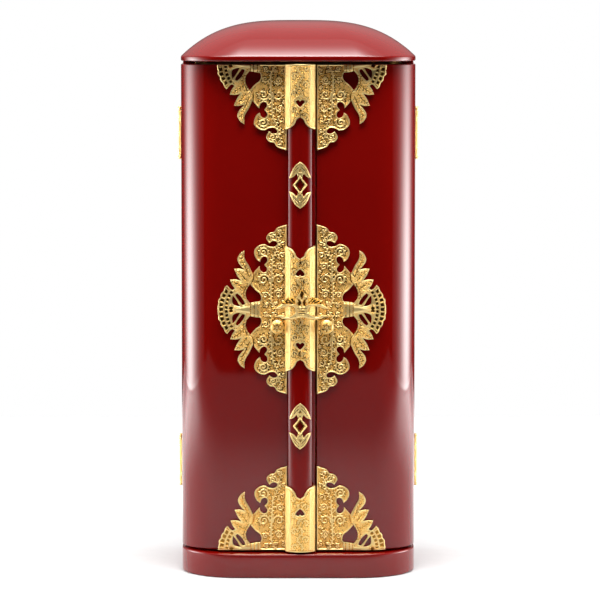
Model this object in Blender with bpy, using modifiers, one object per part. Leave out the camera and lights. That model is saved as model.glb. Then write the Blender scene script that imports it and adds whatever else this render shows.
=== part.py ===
"""A portable shrine: a lacquered cabinet with two leaves that wrap its front corners, gilt fittings and a domed cap.

Metres, +Z up, the front faces -Y. The origin is the centre of the underside.
"""

import math

import bmesh
import bpy
from mathutils import Matrix, Vector

MM = 0.001

# Body
BODY_WIDTH = 75.4 * MM
BODY_DEPTH = 62.0 * MM
TOTAL_HEIGHT = 178.0 * MM
FRONT_CORNER = 18.6 * MM
BACK_CORNER = 10.0 * MM
EDGE_ROUND = 0.5 * MM
BASE_HEIGHT = 7.7 * MM
CAP_RIM = 1.5 * MM
DOME_RISE = 11.5 * MM
DOME_POWER = 3.2
WALL = 4.2 * MM
JOINT_GAP = 0.3 * MM

# Doors
DOOR_SETBACK = 5.0 * MM
DOOR_CORNER = 14.0 * MM
DOOR_THICKNESS = 4.2 * MM
GAP_BELOW_DOOR = 0.7 * MM
GAP_ABOVE_DOOR = 1.0 * MM
MEETING_X = 5.65 * MM
MEETING_GAP = 0.3 * MM
HINGE_LINE_Y = 4.0 * MM
HINGE_EDGE_GAP = 0.5 * MM

# Covering strip and its sleeves
STRIP_X = 0.6 * MM
STRIP_HALF_WIDTH = 3.85 * MM
STRIP_DEPTH = 3.9 * MM
STRIP_FRONT_RADIUS = 5.3 * MM
STRIP_SHOULDER = 0.5 * MM
SLEEVE_SHEET = 0.7 * MM
SLEEVE_POINT = 4.0 * MM
TOP_SLEEVE_LENGTH = 20.7 * MM
MIDDLE_SLEEVE_LENGTH = 40.2 * MM
BOTTOM_SLEEVE_LENGTH = 21.3 * MM
SLEEVE_OVERHANG = 0.1 * MM
HEART_HOLE_WIDTH = 3.0 * MM
HEART_HOLE_TO_NOTCH = 4.4 * MM
MEDALLION_SHEET = 0.45 * MM
MEDALLION_WIDTH = 7.2 * MM
MEDALLION_HEIGHT = 14.9 * MM
MEDALLION_RAISE = 1.0 * MM
MEDALLION_LIFT = 1.7 * MM

# Gilt plates
PLATE_SHEET = 0.6 * MM
PLATE_WIDTH = 22.1 * MM
PLATE_RISE = 27.2 * MM
PLATE_DROP = 0.2 * MM
PLATE_EDGE_INSET = 0.1 * MM
STEM_PROUD = 0.3 * MM

# Clasp and knobs
CLASP_SHEET = 1.0 * MM
CLASP_SPAN = 20.0 * MM
CLASP_FOOT = 1.0 * MM
CLASP_ABOVE_PLATE_MIDDLE = 0.8 * MM
KNOB_RADIUS = 2.2 * MM
KNOB_HEIGHT = 3.0 * MM
KNOB_BELOW_PLATE_MIDDLE = 5.5 * MM
KNOB_FROM_PLATE_EDGE = 3.2 * MM

# Hinges
HINGE_LENGTH = 14.4 * MM
HINGE_BELOW_DOOR_TOP = 22.7 * MM
HINGE_ABOVE_DOOR_BOTTOM = 25.1 * MM
KNUCKLE_RADIUS = 0.7 * MM
KNUCKLE_STANDOFF = 0.25 * MM
KNUCKLE_BORE = 0.42 * MM
KNUCKLE_GAP = 0.2 * MM
KNUCKLE_SHARES = (1.0, 2.1, 2.1, 1.0)
HINGE_SHEET = 0.4 * MM
HINGE_LEAF_WIDTH = 5.2 * MM
PIN_RADIUS = 0.32 * MM
FINIAL_RADIUS = 0.8 * MM

# Smoothness
OUTLINE_TOLERANCE = 0.08 * MM
HANDLE_REACH = 0.37
CORNER_STEPS = 9
STRIP_STEPS = 7
SHOULDER_STEPS = 3
KNUCKLE_SIDES = 8
KNOB_SIDES = 12

# Worked out from the sizes above
HALF_WIDTH = BODY_WIDTH / 2
FRONT_Y = -BODY_DEPTH / 2
BACK_Y = BODY_DEPTH / 2
CAP_BOTTOM = TOTAL_HEIGHT - DOME_RISE - CAP_RIM
DOOR_Y = FRONT_Y + DOOR_SETBACK
DOOR_BOTTOM = BASE_HEIGHT + GAP_BELOW_DOOR
DOOR_TOP = CAP_BOTTOM - GAP_ABOVE_DOOR
HINGE_X = HALF_WIDTH + KNUCKLE_STANDOFF + KNUCKLE_RADIUS
SEAT_Y = DOOR_Y - JOINT_GAP
PLATE_FACE_Y = SEAT_Y - PLATE_SHEET
SLEEVE_HALF_WIDTH = STRIP_HALF_WIDTH + JOINT_GAP + SLEEVE_SHEET
SLEEVE_DEPTH = STRIP_DEPTH + JOINT_GAP + SLEEVE_SHEET
LEFT_PLATE_X = STRIP_X - STRIP_HALF_WIDTH - JOINT_GAP
RIGHT_PLATE_X = MEETING_X + MEETING_GAP / 2 + PLATE_EDGE_INSET
CLASP_X = (LEFT_PLATE_X + RIGHT_PLATE_X) / 2
PLATE_MIDDLE_Z = (DOOR_BOTTOM + DOOR_TOP) / 2 - PLATE_DROP
CLASP_BACK_Y = SEAT_Y - SLEEVE_DEPTH - CLASP_FOOT

# Quarter of a gilt plate, as (out from the inner edge, up from the middle line, sharp), in shares of a plate
# drawn 22.1 wide and 27.2 high: two scrolls, a horn, three leaves, and the fan by a formula
DRAWN_WIDTH = 22.1
DRAWN_RISE = 27.2
SCROLLS = (
    (0.0, 27.2, 1), (3.2, 26.1, 0), (4.1, 24.9, 0), (5.6, 24.5, 0), (6.6, 23.0, 0), (5.7, 21.2, 1),
    (4.4, 21.9, 0), (3.15, 21.4, 0), (3.95, 20.2, 0), (5.6, 20.2, 0), (7.45, 20.9, 0), (9.65, 20.0, 0),
    (10.5, 18.4, 0), (9.85, 16.3, 0), (8.65, 15.2, 1), (8.0, 16.6, 0), (6.7, 16.8, 0), (6.35, 15.5, 0),
    (7.25, 14.35, 1), (6.4, 12.9, 0), (7.2, 11.9, 0), (8.4, 12.5, 0), (8.85, 13.9, 1), (9.9, 12.7, 0),
)
LEAVES = (
    (10.95, 11.4, 1), (12.1, 13.9, 0), (13.5, 16.4, 0), (13.6, 18.9, 1), (15.1, 17.7, 0), (15.7, 15.6, 0),
    (13.65, 12.7, 1), (15.4, 13.1, 0), (16.85, 13.0, 1), (15.85, 10.8, 0),
    (14.7, 9.2, 1), (16.4, 9.6, 0), (18.15, 9.5, 1), (17.5, 7.9, 0), (16.65, 6.75, 1), (17.6, 6.3, 0),
)
STEM_HALF = (
    (8.5, 0.2, 1), (8.5, 1.9, 0), (9.6, 2.2, 0), (11.4, 1.9, 0), (12.0, 1.2, 1), (14.6, 0.8, 0), (17.4, 0.2, 1),
)
FAN_TIP = (19.15, 7.8)
FAN_SCALLOPS = 4
FAN_BULGE = 0.35
HEART_OPENING = (
    (11.85, 8.2, 1), (10.3, 6.4, 0), (8.5, 4.7, 0), (8.5, 2.8, 0), (9.8, 2.5, 0), (11.9, 2.1, 1),
    (13.0, 3.7, 0), (13.1, 5.8, 0),
)
STAMEN_OPENINGS = (
    ((17.4, 4.6, 1), (16.4, 3.4, 0), (14.95, 1.0, 1), (16.2, 1.2, 0), (17.4, 2.0, 0)),
    ((15.9, 5.2, 1), (14.6, 4.0, 0), (13.45, 1.8, 0), (14.25, 1.4, 1), (15.5, 3.0, 0), (16.45, 4.7, 0)),
)

# Half of the clasp, from its middle line outwards, in shares of a span of 20
DRAWN_SPAN = 20.0
CLASP_HALF = (
    (0.0, 6.4, 1), (0.9, 5.2, 0), (2.3, 3.3, 1), (3.8, 3.7, 0), (5.4, 2.9, 0), (7.0, 1.3, 0), (10.0, -0.2, 1),
    (7.3, -0.2, 0), (5.2, 0.5, 0), (2.9, 0.5, 0), (2.3, -1.0, 0), (3.4, -2.0, 0), (5.0, -2.3, 0),
    (6.6, -1.7, 0), (8.2, -2.1, 0), (9.6, -2.8, 1), (7.6, -3.0, 0), (4.4, -3.6, 0), (1.8, -3.3, 0),
)
CLASP_BOTTOM = -2.9
FOOT_WIDTH = 2.4
FLEUR_PETAL = ((0.0, 5.8, 1), (0.5, 4.5, 0), (0.0, 3.1, 1), (-0.5, 4.5, 0))
FLEUR_CURL = ((0.5, 1.0, 1), (0.45, 2.3, 0), (1.5, 3.2, 1), (1.0, 2.3, 0), (1.6, 1.5, 0), (1.0, 1.1, 0))

# Half of a heart, and the parts of a medallion, in shares of the half width
HEART_HALF = ((0.0, 0.42, 1), (0.45, 0.72, 0), (1.0, 0.35, 0), (0.62, -0.3, 0), (0.0, -0.85, 1))
LOZENGE_SIDE = (0.74, 0.0, 1)
LOZENGE_INNER = ((0.0, 0.21, 1), (0.34, 0.0, 1), (0.0, -0.21, 1), (-0.34, 0.0, 1))
CRESCENT_HALF = (
    (0.0, 1.0, 1), (0.45, 0.83, 0), (0.85, 0.5, 0), (1.0, 0.28, 1), (0.6, 0.36, 0), (0.33, 0.5, 1), (0.2, 0.36, 0),
    (0.2, 0.26, 1),
)


def clear_scene():
    """Remove whatever the scene holds."""
    for old in list(bpy.data.objects):
        bpy.data.objects.remove(old, do_unlink=True)


def new_collection(name):
    """A collection of this name in the scene."""
    collection = bpy.data.collections.new(name)
    bpy.context.scene.collection.children.link(collection)
    return collection


def finish_material(name, colour, roughness, metallic):
    """A Principled material with one colour."""
    material = bpy.data.materials.new(name)
    material.use_nodes = True
    shader = material.node_tree.nodes["Principled BSDF"]
    shader.inputs["Base Color"].default_value = (*colour, 1.0)
    shader.inputs["Roughness"].default_value = roughness
    shader.inputs["Metallic"].default_value = metallic
    return material


def add_object(name, mesh, material, location=(0, 0, 0), rotation=(0, 0, 0)):
    """Put a mesh into the shrine's collection as an object with its material."""
    obj = bpy.data.objects.new(name, mesh)
    obj.location = location
    obj.rotation_euler = rotation
    mesh.materials.clear()
    mesh.materials.append(material)
    SHRINE.objects.link(obj)
    return obj


def hang(obj, axis_empty):
    """Parent a piece to the empty on its door's hinge axis, leaving it where it is."""
    obj.parent = axis_empty
    obj.location -= axis_empty.location
    return obj


def arc(centre, radius, start, end, steps):
    """Points on an arc, angles in degrees."""
    points = []
    for i in range(steps + 1):
        angle = math.radians(start + (end - start) * i / steps)
        points.append((centre[0] + radius * math.cos(angle), centre[1] + radius * math.sin(angle)))
    return points


def mirrored(half):
    """A symmetric closed outline from its right half, whose first and last points lie on or near the middle line."""
    left = [(-x, y, sharp) for x, y, sharp in reversed(half) if x > 0]
    return list(half) + left


def scaled(outline, across, up, centre=(0.0, 0.0)):
    """An outline in metres from its drawn shares."""
    return [(centre[0] + x * across, centre[1] + y * up, sharp) for x, y, sharp in outline]


def mesh_from_curve(name, curve):
    """The closed mesh that a curve object evaluates to."""
    guide = bpy.data.objects.new(name + "_guide", curve)
    GUIDES.objects.link(guide)
    bpy.context.view_layer.update()
    graph = bpy.context.evaluated_depsgraph_get()
    mesh = bpy.data.meshes.new_from_object(guide.evaluated_get(graph))
    mesh.name = name
    bpy.data.objects.remove(guide, do_unlink=True)
    return mesh


def smoothed(outline, tolerance):
    """Plain points along a closed outline whose unsharp points are rounded, as many as keep to the tolerance."""
    points = [Vector((x, y)) for x, y, _ in outline]
    count = len(points)
    result = []
    for i, start in enumerate(points):
        end = points[(i + 1) % count]
        reach = (end - start).length * HANDLE_REACH
        straight = (end - start).normalized()
        leave = straight if outline[i][2] else (end - points[i - 1]).normalized()
        arrive = straight if outline[(i + 1) % count][2] else (points[(i + 2) % count] - start).normalized()
        controls = (start, start + leave * reach, end - arrive * reach, end)
        result.append(start)
        result += between(controls, 0.0, 1.0, tolerance)
    return [(point.x, point.y) for point in result]


def on_curve(controls, t):
    """A point on a cubic curve."""
    a, b, c, d = controls
    s = 1 - t
    return a * s ** 3 + b * 3 * s * s * t + c * 3 * s * t * t + d * t ** 3


def between(controls, low, high, tolerance):
    """The points between two places on a curve that its chord would otherwise miss by more than the tolerance."""
    middle = (low + high) / 2
    point = on_curve(controls, middle)
    chord = (on_curve(controls, low) + on_curve(controls, high)) / 2
    if (point - chord).length < tolerance:
        return []
    return between(controls, low, middle, tolerance) + [point] + between(controls, middle, high, tolerance)


def flat_mesh(name, loops, thickness):
    """A flat outline with its openings as a closed solid, local Z through its thickness from 0 up."""
    curve = bpy.data.curves.new(name + "_outline", "CURVE")
    curve.dimensions = "2D"
    curve.fill_mode = "BOTH"
    curve.extrude = thickness / 2
    for loop in loops:
        points = smoothed(loop, OUTLINE_TOLERANCE)
        spline = curve.splines.new("POLY")
        spline.points.add(len(points) - 1)
        spline.use_cyclic_u = True
        for point, (x, y) in zip(spline.points, points):
            point.co = (x, y, 0, 1)
    mesh = mesh_from_curve(name, curve)
    mesh.transform(Matrix.Translation((0, 0, thickness / 2)))
    weld(mesh)
    return mesh


def weld(mesh):
    """Join the loose caps to the sides."""
    shape = bmesh.new()
    shape.from_mesh(mesh)
    bmesh.ops.remove_doubles(shape, verts=shape.verts, dist=0.00001)
    bmesh.ops.dissolve_degenerate(shape, edges=shape.edges, dist=0.000001)
    bmesh.ops.recalc_face_normals(shape, faces=shape.faces)
    shape.to_mesh(mesh)
    shape.free()


def prism(name, outline, bottom, top):
    """A closed plan outline of plain points, carried straight up from bottom to top."""
    mesh = bpy.data.meshes.new(name)
    shape = bmesh.new()
    floor = shape.faces.new([shape.verts.new((x, y, bottom)) for x, y in outline])
    grown = bmesh.ops.extrude_face_region(shape, geom=[floor])
    raised = [item for item in grown["geom"] if isinstance(item, bmesh.types.BMVert)]
    bmesh.ops.translate(shape, verts=raised, vec=(0, 0, top - bottom))
    bmesh.ops.recalc_face_normals(shape, faces=shape.faces)
    shape.to_mesh(mesh)
    shape.free()
    return mesh


def shade(mesh, angle=35):
    """Smooth shading with sharp edges kept."""
    mesh.shade_smooth()
    mesh.set_sharp_from_angle(angle=math.radians(angle))


def applied(obj):
    """Replace an object's mesh by what its modifiers make of it."""
    bpy.context.view_layer.update()
    graph = bpy.context.evaluated_depsgraph_get()
    mesh = bpy.data.meshes.new_from_object(obj.evaluated_get(graph))
    obj.modifiers.clear()
    obj.data = mesh
    return obj


def combine(obj, meshes, operation):
    """Boolean each mesh, given in the object's own space, with the object, and keep the result."""
    for number, mesh in enumerate(meshes):
        helper = bpy.data.objects.new(f"{obj.name}_{operation.lower()}_{number}", mesh)
        helper.hide_render = True
        helper.display_type = "WIRE"
        helper.matrix_world = obj.matrix_world
        GUIDES.objects.link(helper)
        boolean = obj.modifiers.new(helper.name, "BOOLEAN")
        boolean.operation = operation
        boolean.solver = "EXACT"
        boolean.object = helper
    helpers = [modifier.object for modifier in obj.modifiers]
    applied(obj)
    for helper in helpers:
        bpy.data.objects.remove(helper, do_unlink=True)
    return obj


def body_plan():
    """The plan of base and cap, from the front left corner round."""
    left_front = (-HALF_WIDTH + FRONT_CORNER, FRONT_Y + FRONT_CORNER)
    right_front = (HALF_WIDTH - FRONT_CORNER, FRONT_Y + FRONT_CORNER)
    right_back = (HALF_WIDTH - BACK_CORNER, BACK_Y - BACK_CORNER)
    left_back = (-HALF_WIDTH + BACK_CORNER, BACK_Y - BACK_CORNER)
    return (
        arc(left_front, FRONT_CORNER, 180, 270, CORNER_STEPS)
        + arc(right_front, FRONT_CORNER, 270, 360, CORNER_STEPS)
        + arc(right_back, BACK_CORNER, 0, 90, CORNER_STEPS // 2)
        + arc(left_back, BACK_CORNER, 90, 180, CORNER_STEPS // 2)
    )


def make_base():
    """The board that the body stands on."""
    mesh = prism("base", body_plan(), 0.0, BASE_HEIGHT)
    base = add_object("base", mesh, LACQUER)
    rounding = base.modifiers.new("rounded_edges", "BEVEL")
    rounding.width = EDGE_ROUND
    rounding.segments = 2
    rounding.limit_method = "ANGLE"
    rounding.angle_limit = math.radians(50)
    shade(mesh)
    return base


def dome_height(share):
    """Height of the dome above its rim, at this share of the way from its middle to its rim."""
    return DOME_RISE * (1 - share ** DOME_POWER)


def make_cap():
    """The domed top board: the plan carried up the rim, then drawn in ring by ring to the crown."""
    shares = (0.93, 0.85, 0.75, 0.63, 0.5, 0.34, 0.15)
    levels = [(1.0, CAP_BOTTOM + CAP_RIM)]
    levels += [(share, CAP_BOTTOM + CAP_RIM + dome_height(share)) for share in shares]
    mesh = bpy.data.meshes.new("cap")
    shape = bmesh.new()
    undercut = 1 - EDGE_ROUND / HALF_WIDTH
    verts = [shape.verts.new((x * undercut, y * undercut, CAP_BOTTOM)) for x, y in body_plan()]
    face = shape.faces.new(verts)
    scale, height = undercut, CAP_BOTTOM
    for number, (new_scale, new_height) in enumerate([(1.0, CAP_BOTTOM + EDGE_ROUND)] + levels):
        grown = bmesh.ops.extrude_face_region(shape, geom=[face])
        raised = [item for item in grown["geom"] if isinstance(item, bmesh.types.BMVert)]
        if number > 0:
            bmesh.ops.delete(shape, geom=[face], context="FACES_ONLY")
        face = next(item for item in grown["geom"] if isinstance(item, bmesh.types.BMFace))
        ratio = new_scale / scale
        bmesh.ops.scale(shape, verts=raised, vec=(ratio, ratio, 1))
        bmesh.ops.translate(shape, verts=raised, vec=(0, 0, new_height - height))
        scale, height = new_scale, new_height
    crown = bmesh.ops.poke(shape, faces=[face])["verts"][0]
    crown.co.z = TOTAL_HEIGHT
    bmesh.ops.recalc_face_normals(shape, faces=shape.faces)
    shape.to_mesh(mesh)
    shape.free()
    shade(mesh)
    return add_object("cap", mesh, LACQUER)


def bent_board(name, path, thickness, bottom, top, material):
    """A board bent to follow a plan path, whose thickness lies to the left of the path's direction."""
    mesh = bpy.data.meshes.new(name)
    shape = bmesh.new()
    verts = [shape.verts.new((x, y, bottom)) for x, y in path]
    edges = [shape.edges.new(pair) for pair in zip(verts, verts[1:])]
    grown = bmesh.ops.extrude_edge_only(shape, edges=edges)
    raised = [item for item in grown["geom"] if isinstance(item, bmesh.types.BMVert)]
    bmesh.ops.translate(shape, verts=raised, vec=(0, 0, top - bottom))
    shape.to_mesh(mesh)
    shape.free()
    board = add_object(name, mesh, material)
    wall = board.modifiers.new("thickness", "SOLIDIFY")
    wall.thickness = thickness
    wall.offset = 1.0
    wall.use_even_offset = True
    shade(mesh)
    return board


def make_cabinet_wall():
    """Back and sides in one bent board, open at the front."""
    right_back = (HALF_WIDTH - BACK_CORNER, BACK_Y - BACK_CORNER)
    left_back = (-HALF_WIDTH + BACK_CORNER, BACK_Y - BACK_CORNER)
    edge_y = HINGE_LINE_Y + HINGE_EDGE_GAP / 2
    path = [(HALF_WIDTH, edge_y)]
    path += arc(right_back, BACK_CORNER, 0, 90, CORNER_STEPS - 2)
    path += arc(left_back, BACK_CORNER, 90, 180, CORNER_STEPS - 2)
    path += [(-HALF_WIDTH, edge_y)]
    bottom = BASE_HEIGHT + JOINT_GAP
    top = CAP_BOTTOM - JOINT_GAP
    return bent_board("cabinet_wall", path, WALL, bottom, top, LACQUER)


def make_door(name, side, meeting_edge, axis_empty):
    """A leaf from its meeting edge along the front and round the corner to the hinge line."""
    corner = (HALF_WIDTH - DOOR_CORNER, DOOR_Y + DOOR_CORNER)
    path = [(meeting_edge * side, DOOR_Y)]
    path += arc(corner, DOOR_CORNER, 270, 360, CORNER_STEPS)
    path += [(HALF_WIDTH, HINGE_LINE_Y - HINGE_EDGE_GAP / 2)]
    path = [(x * side, y) for x, y in path]
    if side < 0:
        path.reverse()
    door = bent_board(name, path, DOOR_THICKNESS, DOOR_BOTTOM, DOOR_TOP, LACQUER)
    return hang(door, axis_empty)


def strip_path(grow, lift):
    """The strip's section grown outwards, from its left foot over the gently rounded front to its right foot."""
    centre_y = SEAT_Y - STRIP_DEPTH + STRIP_FRONT_RADIUS
    shoulder_x = STRIP_HALF_WIDTH - STRIP_SHOULDER
    inner_radius = STRIP_FRONT_RADIUS - STRIP_SHOULDER
    turn = math.degrees(math.asin(shoulder_x / inner_radius))
    shoulder_y = centre_y - inner_radius * math.cos(math.radians(turn))
    reach = STRIP_HALF_WIDTH + grow
    path = [(STRIP_X - reach, SEAT_Y - lift)]
    path += arc((STRIP_X - shoulder_x, shoulder_y), STRIP_SHOULDER + grow, 180, 270 - turn, SHOULDER_STEPS)
    path += arc((STRIP_X, centre_y), STRIP_FRONT_RADIUS + grow, 270 - turn, 270 + turn, STRIP_STEPS)[1:-1]
    path += arc((STRIP_X + shoulder_x, shoulder_y), STRIP_SHOULDER + grow, 270 + turn, 360, SHOULDER_STEPS)
    return path + [(STRIP_X + reach, SEAT_Y - lift)]


def strip_cover(name, sheet, bottom, top, lift):
    """A sheet bent over the strip, its feet lifted off the door front."""
    outline = strip_path(JOINT_GAP + sheet, lift) + list(reversed(strip_path(JOINT_GAP, lift)))
    return prism(name, outline, bottom, top)


def make_strip(axis_empty):
    """The lacquered strip with a rounded front over the meeting edge."""
    mesh = prism("centre_strip", strip_path(0.0, 0.0), DOOR_BOTTOM, DOOR_TOP)
    shade(mesh)
    return hang(add_object("centre_strip", mesh, LACQUER), axis_empty)


def upright(mesh, y):
    """Stand a flat mesh up on the door front: its outline's second axis up, its thickness from y towards -Y."""
    mesh.transform(Matrix.Translation((0, y, 0)) @ Matrix.Rotation(math.pi / 2, 4, "X"))
    return mesh


def pointed_end(notch_z, tip_z):
    """The ogee cut of a sleeve's end, from its left tip to its right tip, with the notch in the middle."""
    rise = notch_z - tip_z
    half = [(1.0, tip_z, 1), (0.62, tip_z + 0.2 * rise, 0), (0.38, tip_z + 0.5 * rise, 0)]
    half += [(0.24, tip_z + 0.82 * rise, 0)]
    left = [(STRIP_X - x * SLEEVE_HALF_WIDTH * 1.02, z, sharp) for x, z, sharp in half]
    right = [(STRIP_X + x * SLEEVE_HALF_WIDTH * 1.02, z, sharp) for x, z, sharp in reversed(half)]
    return left + [(STRIP_X, notch_z, 1)] + right


def flat_end(z):
    """A sleeve's plain end."""
    reach = SLEEVE_HALF_WIDTH * 1.02
    return [(STRIP_X - reach, z, 1), (STRIP_X + reach, z, 1)]


def heart(z, point_down):
    """A heart-shaped hole on the strip's middle line."""
    flip = 1 if point_down else -1
    return scaled(mirrored(HEART_HALF), HEART_HOLE_WIDTH / 2, flip * HEART_HOLE_WIDTH / 2, (STRIP_X, z))


def make_sleeve(name, lower_end, upper_end, holes, bottom, top, axis_empty):
    """A gilt sheet bent over the strip, its ends and holes cut through from the front."""
    outline = lower_end + list(reversed(upper_end))
    lift = PLATE_SHEET + JOINT_GAP
    sleeve = add_object(name, strip_cover(name, SLEEVE_SHEET, bottom, top, lift), GILT)
    cutter = upright(flat_mesh(name + "_cut", [outline] + holes, 3 * SLEEVE_DEPTH), SEAT_Y + SLEEVE_DEPTH)
    combine(sleeve, [cutter], "INTERSECT")
    weld(sleeve.data)
    shade(sleeve.data, 30)
    return hang(sleeve, axis_empty)


def sleeve_spans():
    """The lowest and highest point of each sleeve."""
    top_end = DOOR_TOP + SLEEVE_OVERHANG
    bottom_end = DOOR_BOTTOM - SLEEVE_OVERHANG
    middle = PLATE_MIDDLE_Z + CLASP_ABOVE_PLATE_MIDDLE / 2
    return {
        "bottom": (bottom_end, bottom_end + BOTTOM_SLEEVE_LENGTH),
        "middle": (middle - MIDDLE_SLEEVE_LENGTH / 2, middle + MIDDLE_SLEEVE_LENGTH / 2),
        "top": (top_end - TOP_SLEEVE_LENGTH, top_end),
    }


def make_sleeves(axis_empty):
    """The three sleeves: a pointed end and its heart-shaped hole wherever an end meets bare strip."""
    for place, (low, high) in sleeve_spans().items():
        holes = []
        lower_end, upper_end = flat_end(low), flat_end(high)
        bottom, top = low, high
        if place != "bottom":
            lower_end = pointed_end(low + SLEEVE_POINT, low)
            holes.append(heart(low + SLEEVE_POINT + HEART_HOLE_TO_NOTCH, True))
            bottom -= SLEEVE_POINT
        if place != "top":
            upper_end = pointed_end(high - SLEEVE_POINT, high)
            holes.append(heart(high - SLEEVE_POINT - HEART_HOLE_TO_NOTCH, False))
            top += SLEEVE_POINT
        make_sleeve(f"strip_mount_{place}", lower_end, upper_end, holes, bottom, top, axis_empty)


def make_medallions(axis_empty):
    """A medallion on each bare stretch of the strip, a little above its middle."""
    spans = sleeve_spans()
    for place, below, above in (("lower", "bottom", "middle"), ("upper", "middle", "top")):
        middle = (spans[below][1] + spans[above][0]) / 2
        make_medallion(f"strip_medallion_{place}", middle + MEDALLION_RAISE, axis_empty)


def make_medallion(name, z, axis_empty):
    """A lozenge ring between two crescents, cut from a sheet bent over the strip."""
    half_height = MEDALLION_HEIGHT / 2
    blank = strip_cover(name, MEDALLION_SHEET, z - MEDALLION_HEIGHT, z + MEDALLION_HEIGHT, MEDALLION_LIFT)
    medallion = add_object(name, blank, GILT)
    outline = medallion_outline()
    loops = [scaled(loop, MEDALLION_WIDTH / 2, half_height, (STRIP_X, z)) for loop in (outline, LOZENGE_INNER)]
    cutter = upright(flat_mesh(name + "_cut", loops, 3 * SLEEVE_DEPTH), SEAT_Y + SLEEVE_DEPTH)
    combine(medallion, [cutter], "INTERSECT")
    weld(medallion.data)
    shade(medallion.data, 30)
    return hang(medallion, axis_empty)


def medallion_outline():
    """The medallion's outer edge: a crescent above, the lozenge between, and a crescent below."""
    upper_right = list(CRESCENT_HALF)
    lower_right = [(x, -y, sharp) for x, y, sharp in reversed(CRESCENT_HALF)]
    right = upper_right + [LOZENGE_SIDE] + lower_right
    left = [(-x, y, sharp) for x, y, sharp in reversed(right) if x > 0]
    return right + left


def fan_edge():
    """The scalloped outer edge of a plate's fan, from its tip to the middle line."""
    points = [(*FAN_TIP, 1)]
    reach = DRAWN_WIDTH - FAN_TIP[0]
    for i in range(FAN_SCALLOPS):
        for step, sharp in ((0.5, 0), (1.0, 1)):
            turn = (i + step) / FAN_SCALLOPS
            bulge = FAN_BULGE if not sharp else 0.0
            x = FAN_TIP[0] + reach * math.sin(turn * math.pi / 2) + bulge * math.sin(turn * math.pi / 2)
            y = FAN_TIP[1] * (1 - turn) + bulge * (1 - turn)
            points.append((min(x, DRAWN_WIDTH), y, sharp))
    points[-1] = (DRAWN_WIDTH, 0.0, 0)
    return points


def plate_outline(rows):
    """A plate's outline: its upper half, its lower half, or both, for rows of (1,), (-1,) or (1, -1)."""
    quarter = list(SCROLLS) + list(LEAVES) + fan_edge()
    if rows == (1,):
        return [(0.0, 0.0, 1)] + quarter[:-1] + [(DRAWN_WIDTH, 0.0, 1)]
    if rows == (-1,):
        flipped = [(x, -y, sharp) for x, y, sharp in reversed(quarter)]
        return [(DRAWN_WIDTH, 0.0, 1)] + flipped[1:] + [(0.0, 0.0, 1)]
    return quarter + [(x, -y, sharp) for x, y, sharp in reversed(quarter[:-1])]


def make_plate(name, rows, side, inner_x, middle_z, axis_empty):
    """A pierced gilt plate on a door, bent with it where the door's corner begins."""
    across = side * PLATE_WIDTH / DRAWN_WIDTH
    up = PLATE_RISE / DRAWN_RISE
    loops = [plate_outline(rows)]
    for row in rows:
        loops += [[(x, row * y, sharp) for x, y, sharp in hole] for hole in (HEART_OPENING, *STAMEN_OPENINGS)]
    loops = [scaled(loop, across, up, (inner_x, middle_z)) for loop in loops]
    plate = add_object(name, upright(flat_mesh(name, loops, PLATE_SHEET), SEAT_Y), GILT)
    stem = scaled(stem_outline(rows), across, up, (inner_x, middle_z))
    thickness = PLATE_SHEET / 2 + STEM_PROUD
    combine(plate, [upright(flat_mesh(name + "_stem", [stem], thickness), SEAT_Y - PLATE_SHEET / 2)], "UNION")
    follow_corner(plate.data, side)
    shade(plate.data, 30)
    return hang(plate, axis_empty)


def stem_outline(rows):
    """The raised stem with its collar, over the middle line or on one side of it."""
    upper = list(STEM_HALF)
    if rows == (1,):
        return upper
    lower = [(x, -y, sharp) for x, y, sharp in reversed(STEM_HALF)]
    if rows == (-1,):
        return lower
    return upper[1:-1] + lower[1:-1]


def follow_corner(mesh, side):
    """Bend a plate back with the door's round corner."""
    start = HALF_WIDTH - DOOR_CORNER
    shape = bmesh.new()
    shape.from_mesh(mesh)
    for share in (0.0, 0.5):
        cut = side * (start + share * DOOR_CORNER / 3)
        everything = list(shape.verts) + list(shape.edges) + list(shape.faces)
        bmesh.ops.bisect_plane(shape, geom=everything, plane_co=(cut, 0, 0), plane_no=(1, 0, 0), dist=0.000001)
    for vert in shape.verts:
        past = abs(vert.co.x) - start
        if past > 0:
            vert.co.y += DOOR_CORNER - math.sqrt(DOOR_CORNER ** 2 - past ** 2)
    bmesh.ops.recalc_face_normals(shape, faces=shape.faces)
    shape.to_mesh(mesh)
    shape.free()


def make_plates(side, inner_x, axis_empty):
    """The three plates of one door."""
    word = "left" if side < 0 else "right"
    make_plate(f"{word}_plate_top", (-1,), side, inner_x, DOOR_TOP, axis_empty)
    make_plate(f"{word}_plate_middle", (1, -1), side, inner_x, PLATE_MIDDLE_Z, axis_empty)
    make_plate(f"{word}_plate_bottom", (1,), side, inner_x, DOOR_BOTTOM, axis_empty)


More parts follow.
